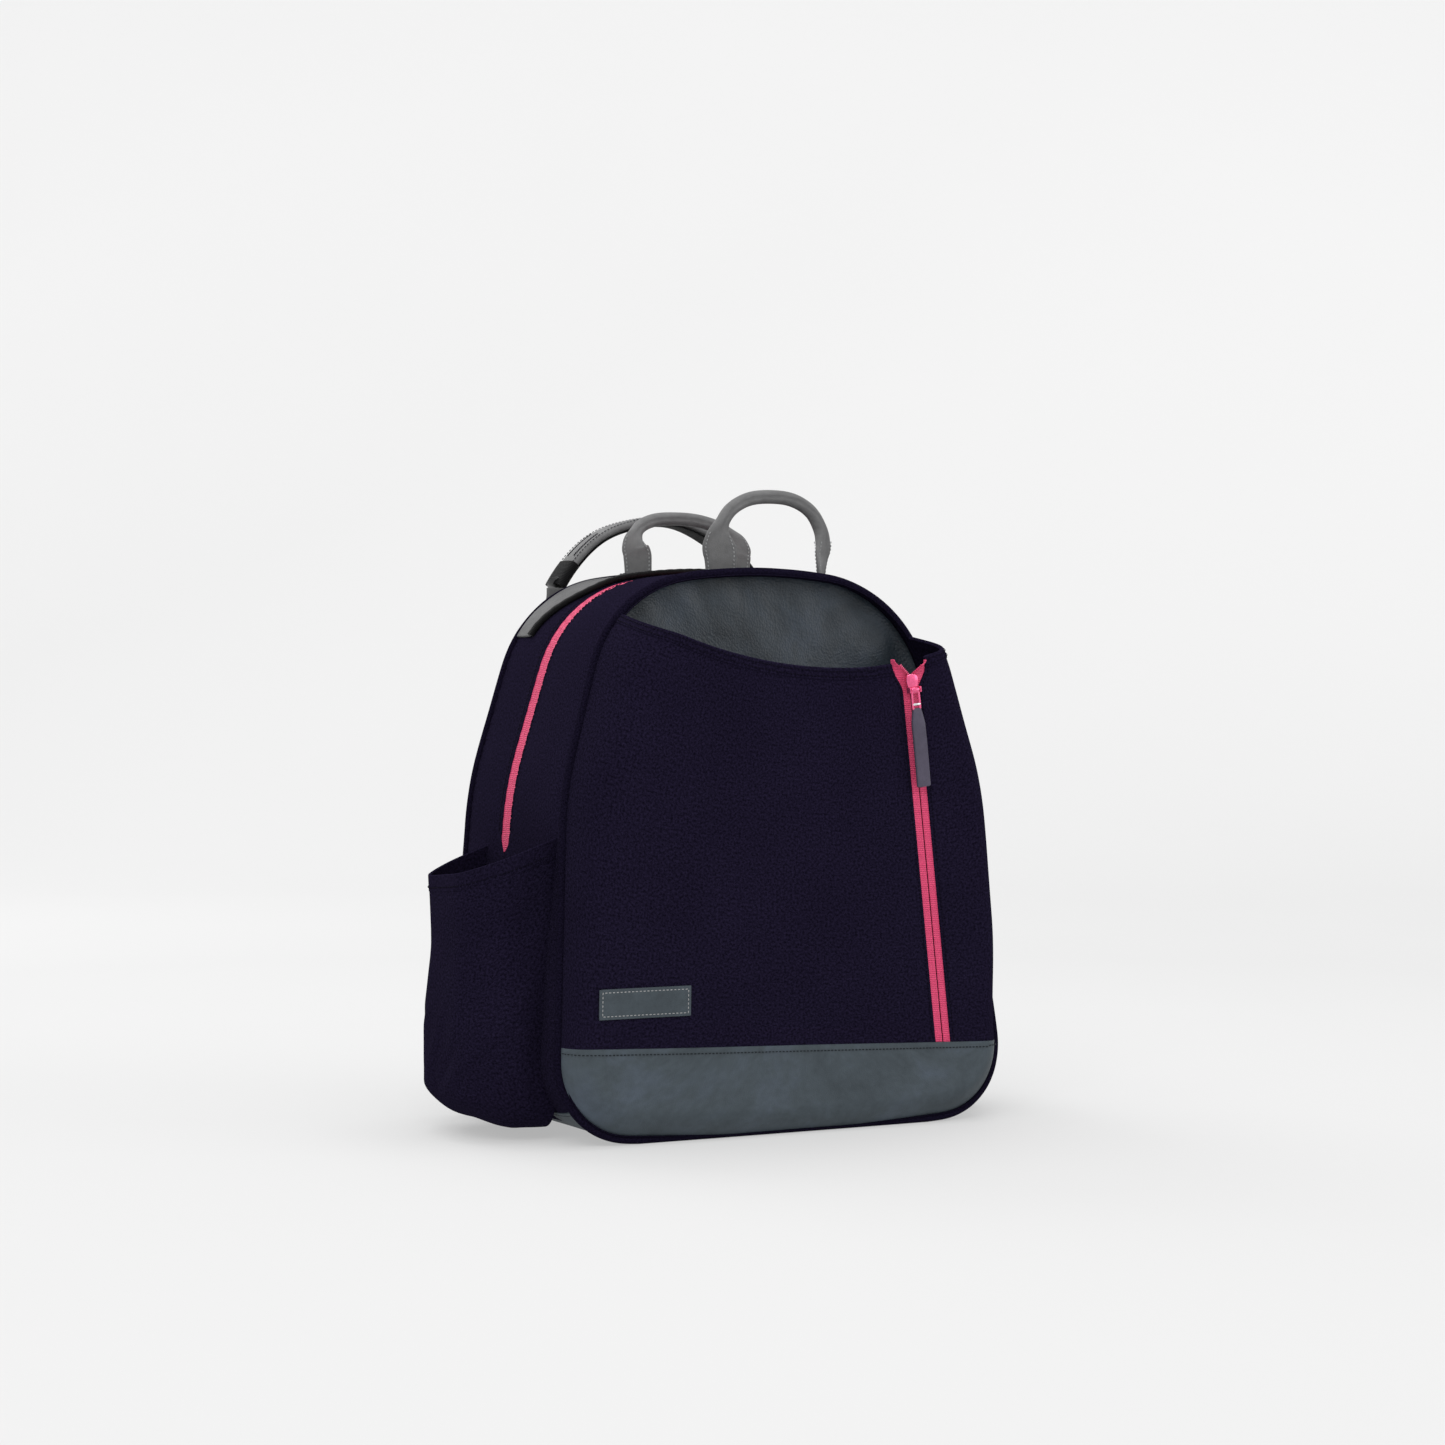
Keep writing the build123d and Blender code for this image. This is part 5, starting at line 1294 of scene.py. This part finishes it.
# ---- shoulder straps ----------------------------------------------------------------------------
def strap(side, word):
    """One padded shoulder strap with its ring, tabs, webbing and ladder buckle."""
    body = f"strap_{word}"
    pad_low, pad_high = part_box(f"strap_pad_{word}")
    ring_low, ring_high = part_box(f"strap_ring_{word}")
    mirror = np.array([side, 1, 1])
    places = np.array([(88, 123, 385), (85, 141, 350), (87, 152, 320), (88, 155.5, 288), (92, 157, 256),
                       (99, 156, 225), (106, 151.5, 196), (114, 146, 168), (123.6, 138.4, 143)]) * MM * mirror
    path = spline(places, 110)
    t = np.linspace(0, 1, 110)
    half = np.interp(t, [0, 0.15, 0.42, 0.66, 0.88, 1], np.array([16.5, 22.5, 25, 24, 20, 15.5]) * MM)
    half = half - 4 * MM * (1 - np.minimum(1, np.minimum(t, 1 - t) / 0.035)) ** 2
    along = unit(np.gradient(path, axis=0))
    across = unit(np.array([1.0, 0, 0]) - along * along[:, :1])
    up = unit(np.cross(across, along))
    up *= np.sign(up[50, 1])
    thick = 4.3 * MM - 2.0 * MM * (1 - np.minimum(1, np.minimum(t, 1 - t) / 0.05)) ** 2
    soft = 1 + 0.04 * np.sin(t * 61) * np.sin(t * 17)
    rings = oval(1, 1, 36, 2.9)[None] * np.stack([half, thick * soft], -1)[:, None]
    pad = loft(f"strap_pad_{word}_foam", path, across, up, rings, sharp=60)
    dress(pad, BACK_MESH, body, stands_for=[f"strap_pad_{word}"])
    u = np.linspace(-1, 1, 21)
    face = (path[:, None] + across[:, None] * (half[:, None] * u * 0.93)[..., None]
            + up[:, None] * ((thick * soft)[:, None] * (1 - np.abs(u * 0.93) ** 2.9) ** (1 / 2.9) + 0.5 * MM)[..., None])
    cover = cloth(f"strap_cover_{word}", face[2:-2], 1.2 * MM, away_from=tuple(path[55] - up[55] * 0.05))
    dress(cover, CANVAS, body)
    for edge, name in ((-1, "inner"), (1, "outer")):
        line = path + across * (edge * (half - 0.6 * MM))[:, None]
        trim = loft(f"strap_binding_{name}_{word}", line, across, up, oval(1.7 * MM, 3.6 * MM, 12, 2.4))
        dress(trim, BINDING, body)
        line = path + across * (edge * (half - 5 * MM))[:, None] + up * (thick * soft * 0.93 + 0.55 * MM)[:, None]
        dress(stitches(f"strap_stitches_{name}_{word}", line[3:-3], up[3:-3]), BLACK_THREAD, body)
    # the leather tongue that turns round the ring's lower bar
    bar = np.array([(ring_low.x + ring_high.x) / 2, (ring_low.y + ring_high.y) / 2, ring_low.z + 1.8 * MM])
    tongue = spline([path[5] + up[5] * 1 * MM, (bar[0], bar[1] + 4.5 * MM, bar[2] - 6 * MM),
                     (bar[0], bar[1] + 3.2 * MM, bar[2] + 0.5 * MM), (bar[0], bar[1], bar[2] + 3.2 * MM),
                     (bar[0], bar[1] - 3.0 * MM, bar[2]), (bar[0], bar[1] - 1.5 * MM, bar[2] - 6 * MM),
                     path[4] - up[4] * 2 * MM], 60)
    tongue_along = unit(np.gradient(tongue, axis=0))
    tongue_across = np.tile([1.0, 0, 0], (60, 1))
    tongue_up = unit(np.cross(tongue_across, tongue_along))
    # its turn sits on the bar; the bend given for the leather below it is not applied
    dress(loft(f"strap_tongue_{word}", tongue, tongue_across, tongue_up, oval(13 * MM, 0.9 * MM, 20, 4.0)),
          HANDLE_LEATHER,
          ("root", body, (bar[0], bar[1], bar[2] + 1 * MM), (bar[0], bar[1], bar[2] - 11 * MM)))
    # the ring itself, bent wire with rounded corners
    wire = 1.75 * MM
    half_x, half_z = (ring_high.x - ring_low.x) / 2 - wire, (ring_high.z - ring_low.z) / 2 - wire
    bend = 3.2 * MM
    turns = np.linspace(0, math.pi / 2, 10)
    loop = []
    for quarter, (sx, sz) in enumerate(((1, 1), (-1, 1), (-1, -1), (1, -1))):
        a = turns + quarter * math.pi / 2
        loop += [(sx * (half_x - bend) + bend * math.cos(k), sz * (half_z - bend) + bend * math.sin(k)) for k in a]
    loop = np.array(loop + loop[:1])
    loop = spaced(loop, 121)[:-1]
    middle = (np.array(ring_low) + np.array(ring_high)) / 2
    centres = np.stack([middle[0] + loop[:, 0], np.full(120, middle[1]), middle[2] + loop[:, 1]], -1)
    ahead = unit(np.roll(centres, -1, 0) - np.roll(centres, 1, 0))
    deep = np.tile([0.0, 1.0, 0.0], (120, 1))
    dress(loft(f"strap_ring_{word}_wire", centres, np.cross(ahead, deep), deep, oval(wire, wire, 14), closed=True),
          BRIGHT_METAL, "root", stands_for=[f"strap_ring_{word}"])
    # the tab that holds the ring: round its upper bar and sewn to the back yoke
    top_bar = np.array([middle[0], middle[1], ring_high.z - wire])
    tab_line = spline([(top_bar[0], BACK_Y + 3.4 * MM, top_bar[2] + 13 * MM),
                       (top_bar[0], BACK_Y + 4.0 * MM, top_bar[2] + 5 * MM),
                       (top_bar[0], top_bar[1] - 3.0 * MM, top_bar[2] - 0.5 * MM),
                       (top_bar[0], top_bar[1], top_bar[2] - 3.0 * MM),
                       (top_bar[0], top_bar[1] + 3.0 * MM, top_bar[2] + 0.5 * MM),
                       (top_bar[0], BACK_Y + 6.4 * MM, top_bar[2] + 6 * MM),
                       (top_bar[0], BACK_Y + 5.6 * MM, top_bar[2] + 14 * MM)], 60)
    tab_along = unit(np.gradient(tab_line, axis=0))
    tab_across = np.tile([1.0, 0, 0], (60, 1))
    tab = loft(f"strap_ring_tab_{word}", tab_line, tab_across, unit(np.cross(tab_across, tab_along)),
               oval(15 * MM, 0.9 * MM, 20, 4.0))
    dress(tab, HANDLE_LEATHER, "root", stands_for=["strap_ring_tabs"] if side < 0 else ())
    # the end of the arched strap comes out of its binding, turns flat and is sewn down over that tab
    end, inside = (loop_line[0], loop_line[8]) if side < 0 else (loop_line[-1], loop_line[-9])
    sewn_y = BACK_Y + 8.4 * MM
    turn_line = spline([tuple(inside), tuple(end),
                        (top_bar[0] + side * 0.6 * MM, sewn_y + 3.6 * MM, top_bar[2] + 12.5 * MM),
                        (top_bar[0], sewn_y + 0.4 * MM, top_bar[2] + 8.5 * MM),
                        (top_bar[0], sewn_y, top_bar[2] + 3.5 * MM)], 60)
    turned = smooth((np.linspace(0, 1, 60) - 0.42) / 0.42) * math.pi / 2
    turn_along = unit(np.gradient(turn_line, axis=0))
    turn_across = np.stack([np.sin(turned), np.cos(turned), np.zeros(60)], -1)
    turn_across = unit(turn_across - turn_along * np.sum(turn_across * turn_along, -1)[:, None])
    turn_half = np.interp(turned, [0, 0.8, math.pi / 2], [11.5 * MM, 10.5 * MM, 13 * MM])
    turn_rings = oval(1, 1, 20, 4.0)[None] * np.stack([turn_half, np.full(60, 1.1 * MM)], -1)[:, None]
    dress(loft(f"top_loop_root_{word}", turn_line, turn_across, unit(np.cross(turn_across, turn_along)), turn_rings),
          HANDLE_LEATHER, loop_bend)
    bar_x = np.linspace(-11, 11, 40) * MM + top_bar[0]
    for lane in (5.2, 8.0):
        bar_z = top_bar[2] + lane * MM
        bar_y = np.interp(bar_z, turn_line[::-1, 2], turn_line[::-1, 1]) + 1.3 * MM
        row = np.stack(np.broadcast_arrays(bar_x, bar_y, bar_z), -1)
        dress(stitches(f"strap_ring_tab_stitches_{word}_{lane:.0f}", row, np.tile([0, 1, 0], (40, 1)), pitch=2.6 * MM,
                       long=1.9 * MM), BLACK_THREAD, "root")
    # webbing down to the bag's lower corner, with its buckle
    start = np.array([124 * side, 138, 142]) * MM
    foot = np.array([149 * side, 118, 44]) * MM
    way = unit(foot - start)
    web_across = unit(np.array([1.0, 0, 0]) - way * way[0])
    web_up = unit(np.cross(web_across, way))
    web_up = web_up * np.sign(web_up[1])
    reach = np.linalg.norm(foot - start)
    at = np.linspace(-5 * MM, reach - 0.5 * MM, 90)
    line = start + way * at[:, None]
    wavy = 0.25 * MM * np.sin(at / (13 * MM))
    web = loft(f"strap_webbing_{word}_ribbon", line + web_up * wavy[:, None], np.tile(web_across, (90, 1)),
               np.tile(web_up, (90, 1)), oval(12.5 * MM, 0.85 * MM, 24, 5.0))
    dress(web, WEBBING, body, stands_for=[f"strap_webbing_{word}"])
    # the ladder buckle: two side rails, three bars and a thumb tab
    centre = start + way * 14 * MM
    rails = []
    for name, offset, length, wide, high in (("rail_left", -15.1, 12.0, 1.9, 3.6), ("rail_right", 15.1, 12.0, 1.9, 3.6)):
        rail = centre + web_across * offset * MM + way * np.linspace(-length / 2, length / 2, 9)[:, None] * MM
        slim = 1 - 0.35 * np.abs(np.linspace(-1, 1, 9)) ** 4
        rings = oval(wide * MM, high * MM, 16, 3.0)[None] * slim[:, None, None]
        rails.append(loft(name, rail, np.tile(web_across, (9, 1)), np.tile(web_up, (9, 1)), rings))
    for name, shift, lift, wide, high in (("bar_top", -4.4, 2.3, 1.5, 1.3), ("bar_middle", 0.4, -2.5, 1.6, 1.2),
                                          ("bar_low", 4.8, 2.5, 1.7, 1.3)):
        bar_line = (centre + way * shift * MM + web_up * lift * MM
                    + web_across * np.linspace(-15.5, 15.5, 13)[:, None] * MM)
        rails.append(loft(name, bar_line, np.tile(way, (13, 1)), np.tile(web_up, (13, 1)),
                          oval(wide * MM, high * MM, 14, 2.4)))
    buckle = join(f"strap_buckle_{word}", *rails)
    dress(buckle, PLASTIC, f"strap_adjuster_{word}", stands_for=[f"strap_adjuster_{word}"])
    # the sewn corner tab
    corners = np.array([(134, 40), (164, 40), (176, 22), (150, 16)]) * MM
    ring = spaced(np.concatenate([corners, corners[:1]]), 81)[:-1]
    for _ in range(3):
        ring = (np.roll(ring, 1, 0) + ring + np.roll(ring, -1, 0)) / 3
    middle = ring.mean(0)
    levels = ((0, 1.0), (4.6, 1.0), (5.9, 0.97), (6.6, 0.88), (6.8, 0.5))
    centres = np.array([(0, BACK_Y + depth * MM, 0) for depth, _ in levels])
    sections = np.array([np.stack([side * (middle[0] + (ring[:, 0] - middle[0]) * k),
                                   middle[1] + (ring[:, 1] - middle[1]) * k], -1) for _, k in levels])
    tab = loft(f"strap_corner_tab_{word}", centres, (1, 0, 0), (0, 0, 1), sections)
    dress(tab, CANVAS, "root", stands_for=["strap_corner_tabs"] if side < 0 else ())
    seam = middle + (np.concatenate([ring, ring[:1]]) - middle) * 0.86
    row = np.stack([side * seam[:, 0], np.full(81, BACK_Y + 6.75 * MM), seam[:, 1]], -1)
    dress(stitches(f"strap_corner_stitches_{word}", row, np.tile([0, 1, 0], (81, 1)), pitch=2.9 * MM, long=2 * MM),
          BLACK_THREAD, "root")


strap(-1, "left")
strap(1, "right")

# ---- sliders and pulls --------------------------------------------------------------------------
JOINTS = {joint["name"]: joint for joint in frame["joints"]}
PIVOT_HIGH = 6.1 * MM


def slab(name, origin, along, across, out, shape, levels):
    """A small solid with softened edges: an outline of (along, across) points raised through (height, scale) levels."""
    shape = np.asarray(shape, float)
    ring = spaced(np.concatenate([shape, shape[:1]]), 49)[:-1]
    ring = (np.roll(ring, 1, 0) + 2 * ring + np.roll(ring, -1, 0)) / 4
    middle = ring.mean(0)
    centres = np.array([np.asarray(origin) + np.asarray(out) * h for h, _ in levels])
    sections = np.array([middle + (ring - middle) * k for _, k in levels])
    count = len(levels)
    return loft(name, centres, np.tile(along, (count, 1)), np.tile(across, (count, 1)), sections, sharp=35)


def rod(name, a, b, radius, up, count=14):
    """A short round bar with softened ends."""
    a, b = np.asarray(a, float), np.asarray(b, float)
    t = np.array([0, 0.04, 0.12, 0.5, 0.88, 0.96, 1])
    scale = np.array([0.55, 0.85, 1, 1, 1, 0.85, 0.55])
    path = a + (b - a) * t[:, None]
    side, top = frames_along(path, up)
    return loft(name, path, side, top, oval(radius, radius, count)[None] * scale[:, None, None])


def wire_loop(name, points, out, radius, count=90):
    """A closed loop of bent wire through (x, y, z) points."""
    loop = np.asarray(points, float)
    loop = spaced(np.concatenate([loop, loop[:1]]), count + 1)[:-1]
    for _ in range(4):
        loop = (np.roll(loop, 1, 0) + loop + np.roll(loop, -1, 0)) / 3
    ahead = unit(np.roll(loop, -1, 0) - np.roll(loop, 1, 0))
    tops = np.tile(out, (count, 1))
    return loft(name, loop, np.cross(ahead, tops), tops, oval(radius, radius, 12), closed=True)


def slider(name, pivot, along, out, body, ahead=0.0):
    """A slider: shield-shaped top plate, rails that grip the coil, two lugs and the pin."""
    across = np.cross(out, along)
    base = pivot - out * PIVOT_HIGH

    def place(a, c, h):
        return base + along * a * MM + across * c * MM + out * h * MM
    shield = np.array([(7.4, 2.0), (6.4, 4.6), (3.0, 5.4), (-3.0, 4.3), (-6.6, 3.7), (-7.4, 2.6)])
    shield = (np.concatenate([shield, shield[::-1] * (1, -1)]) + (ahead, 0)) * MM
    top = slab(name + "_top", base, along, across, out, shield,
               [(1.9 * MM, 0.95), (2.2 * MM, 1.0), (3.1 * MM, 1.0), (3.6 * MM, 0.95), (3.85 * MM, 0.84),
                (3.9 * MM, 0.3)])
    parts = [top]
    for sign in (-1, 1):
        rail = np.array([(5.5, 4.9 * sign), (5.5, 3.6 * sign), (-6.8, 2.6 * sign), (-6.8, 3.9 * sign)]) + (ahead, 0)
        parts.append(slab(f"{name}_rail{sign}", base, along, across, out, rail * MM,
                          [(0.5 * MM, 0.85), (0.7 * MM, 1.0), (2.4 * MM, 1.0)]))
        lug = [(2.4, (4.6 + 0.75) * sign), (2.4, (4.6 - 0.75) * sign), (-2.4, (4.6 - 0.75) * sign),
               (-2.4, (4.6 + 0.75) * sign)]
        parts.append(slab(f"{name}_lug{sign}", base, along, across, out, np.array(lug) * MM,
                          [(2.9 * MM, 1.0), (6.3 * MM, 0.98), (7.3 * MM, 0.85), (7.8 * MM, 0.5)]))
    parts.append(rod(name + "_pin", place(0, -5.2, 6.1), place(0, 5.2, 6.1), 0.95 * MM, out))
    dress(join(name + "_metal", *parts), PINK_METAL, body, stands_for=[name])


def joint_pivot(name):
    return np.array(JOINTS[name]["pos_m"], float)


front_along = unit(-np.array(JOINTS["pocket_slider_run"]["axis"]))
front_out = unit(np.cross(front_along, JOINTS["pocket_pull_lift"]["axis"]))
front_pivot = joint_pivot("pocket_pull_lift")
side_along = unit(-np.array(JOINTS["side_slider_run"]["axis"]))
side_out = np.array([side_along[2], 0, -side_along[0]])
side_pivot = joint_pivot("side_pull_lift")
top_pivot = joint_pivot("top_pull_lift")
top_out = unit(top_pivot - joint_pivot("top_slider_run"))
top_along = np.array([-top_out[2], 0, top_out[0]])
slider("pocket_slider", front_pivot, front_along, front_out, "pocket_slider", ahead=4.6)
slider("side_slider", side_pivot, side_along, side_out, "side_slider")
slider("top_slider", top_pivot, top_along, top_out, "top_slider")

# the front slider's wire loop, a bar low on it in bright silver metal as a painted highlight on the pink loop, and the
# rubber tab
front_across = np.cross(front_out, front_along)


def front_place(a, c, h=0.0):
    return front_pivot + front_along * a * MM + front_across * c * MM + front_out * h * MM


parts = [wire_loop("loop_wire", [front_place(a, c) for a, c in (
    (-1.5, 2.9), (-8, 3.1), (-14.6, 3.1), (-15.6, 2.2), (-15.8, 0), (-15.6, -2.2), (-14.6, -3.1), (-8, -3.1), (-1.5, -2.9)
)], front_out, 1.05 * MM)]
parts.append(rod("loop_eye", front_place(0, -3.6), front_place(0, 3.6), 1.9 * MM, front_out, 18))
dress(join("pocket_pull_loop_wire", *parts), PINK_METAL, "pocket_pull_loop",
      stands_for=["pocket_pull_loop"])
# painted highlight: this bar is bright silver metal where the pink loop shows a highlight
dress(rod("pocket_pull_highlight_bar", front_place(-11.2, -3.9), front_place(-11.2, 3.9), 1.15 * MM, front_out), BRIGHT_METAL,
      "pocket_pull_loop")

tab_at = np.linspace(-14.2, -75.0, 110)
share = (tab_at - tab_at[0]) / (tab_at[-1] - tab_at[0])
tab_half = np.interp(-tab_at, [14.2, 15.2, 18, 26, 44, 74.0, 75.0], [2.6, 3.5, 4.2, 5.7, 5.8, 5.8, 5.2])
tab_thick = np.interp(-tab_at, [14.2, 15.2, 18, 74.0, 75.0], [1.2, 1.7, 1.9, 1.75, 1.2])
panel = smooth((-tab_at - 28) / 3) * smooth((70.5 + tab_at) / 3)
tab_ring = oval(1, 1, 40, 4.2)
sink = 0.14 * panel[:, None] * smooth((0.80 - np.abs(tab_ring[:, 0])) / 0.12)[None]
rings = tab_ring[None] * np.stack([tab_half, tab_thick], -1)[:, None] * MM
rings[..., 1] *= 1 - sink
line = np.array([front_place(a, 0, 0.1 + 0.5 * math.sin(k * math.pi)) for a, k in zip(tab_at, share)])
tab = loft("pocket_pull_tab_rubber", line, front_across, front_out, rings, sharp=60)
dress(tab, PULL_RUBBER, "pocket_pull_tab", stands_for=["pocket_pull_tab"])


def pull(name, pivot, along, out, way, body):
    """A plain metal pull: an eye round the pin, a link and a plate with a raised edge."""
    across = np.cross(out, along)

    def place(a, c, h=0.0):
        return pivot + along * way * a * MM + across * c * MM + out * h * MM
    link = wire_loop(name + "_link", [place(a, c) for a, c in (
        (1.5, 1.9), (6, 2.1), (12, 2.7), (20, 2.9), (30, 2.9), (32.4, 2.0), (32.9, 0), (32.4, -2.0), (30, -2.9),
        (20, -2.9), (12, -2.7), (6, -2.1), (1.5, -1.9)
    )], out, 0.95 * MM, 120)
    eye = rod(name + "_eye", place(0, -3.0), place(0, 3.0), 1.8 * MM, out, 18)
    plate = np.array([(12.5, 2.4), (31.5, 2.5), (32.2, 1.4), (32.2, -1.4), (31.5, -2.5), (12.5, -2.4)]) * MM
    panel = slab(name + "_plate", pivot, along * way, across, out, plate,
                 [(-0.55 * MM, 0.98), (-0.45 * MM, 1.0), (0.45 * MM, 1.0), (0.55 * MM, 0.98)])
    dress(join(name + "_metal", link, eye, panel), PINK_METAL, body, stands_for=[name])


pull("side_pull", side_pivot, side_along, side_out, -1, "side_pull")
pull("top_pull", top_pivot, top_along, top_out, 1, "top_pull")


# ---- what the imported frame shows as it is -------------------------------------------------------
for node in ("back_board", "base_board"):
    piece = frame["nodes"][node]
    piece.data.materials.clear()
    piece.data.materials.append(BOARD)

# ---- floor, light and camera --------------------------------------------------------------------
FLOOR_HALF, WALL_AWAY, WALL_TALL, COVE = 6.0, 4.0, 5.0, 1.6


def studio():
    """A pale floor that curves up into a backdrop behind the bag."""
    curve = [(-FLOOR_HALF, 0.0), (WALL_AWAY - COVE, 0.0)]
    curve += [(WALL_AWAY - COVE + COVE * math.sin(a), COVE - COVE * math.cos(a))
              for a in np.linspace(0, math.pi / 2, 24)[1:]]
    curve.append((WALL_AWAY, WALL_TALL))
    turn = math.radians(-27.5)
    points, faces = [], []
    for across in (-FLOOR_HALF, FLOOR_HALF):
        for away, z in curve:
            x, y = across, away
            points.append((x * math.cos(turn) - y * math.sin(turn), x * math.sin(turn) + y * math.cos(turn), z))
    n = len(curve)
    faces = [(k, n + k, n + k + 1, k + 1) for k in range(n - 1)]
    floor = make_mesh("studio_floor", points, faces)
    s = Shader("studio_white", (0.46, 0.46, 0.46), 0.9, "Object", Specular_IOR_Level=0.0, Emission_Strength=0.42)
    s.surface.inputs["Emission Color"].default_value = (1, 1, 1, 1)
    # the floor near the bag catches more light than the wall, so its paint is a little darker
    away = s.tree.nodes.new("ShaderNodeVectorMath")
    away.operation = "LENGTH"
    s.tree.links.new(s.coords, away.inputs[0])
    away = s.math("MULTIPLY", away.outputs["Value"], 0.2)
    paint = s.ramp(away, (0.28, (0.325, 0.325, 0.325)), (0.60, (0.41, 0.41, 0.41)), (0.86, (0.50, 0.50, 0.50)))
    s.colour(s.multiply(paint, s.ramp(s.noise(3, 2), (0.0, (0.98, 0.98, 0.98)), (1.0, (1, 1, 1)))))
    floor.data.materials.append(s.material)


def lamp(name, place, target, size, power):
    """A soft square light aimed at a point."""
    light = bpy.data.lights.new(name, "AREA")
    light.size, light.energy = size, power
    lamp_object = bpy.data.objects.new(name, light)
    bpy.context.scene.collection.objects.link(lamp_object)
    lamp_object.location = place
    lamp_object.rotation_euler = (Vector(target) - Vector(place)).to_track_quat("-Z", "Y").to_euler()


studio()
lamp("key", (-1.6, -2.2, 2.3), (0, 0, 0.2), 1.6, 34)
lamp("fill", (2.4, -1.9, 1.3), (0, 0, 0.2), 1.8, 20)
lamp("overhead", (0.1, 0.3, 2.6), (0, 0, 0.2), 1.8, 24)
lamp("behind", (-0.6, 2.2, 1.9), (0, 0, 0.3), 1.5, 20)

world = bpy.data.worlds.new("studio_world")
bpy.context.scene.world = world
world.use_nodes = True
world.node_tree.nodes["Background"].inputs["Color"].default_value = (1, 1, 1, 1)
world.node_tree.nodes["Background"].inputs["Strength"].default_value = 0.84
bpy.context.scene.view_settings.view_transform = "Standard"

CAMERA_AT = (-1.2005, -2.3031, 0.367)
CAMERA_TURN, CAMERA_DOWN = 27.5, 1.25       # degrees round to the bag's left of its front, and downwards

camera = bpy.data.cameras.new("camera")
camera.sensor_width = 36
camera.lens = 82.2
camera.clip_end = 60
camera_object = bpy.data.objects.new("camera", camera)
bpy.context.scene.collection.objects.link(camera_object)
camera_object.location = CAMERA_AT
camera_object.rotation_euler = (math.radians(90 - CAMERA_DOWN), 0, math.radians(-CAMERA_TURN))
bpy.context.scene.camera = camera_object
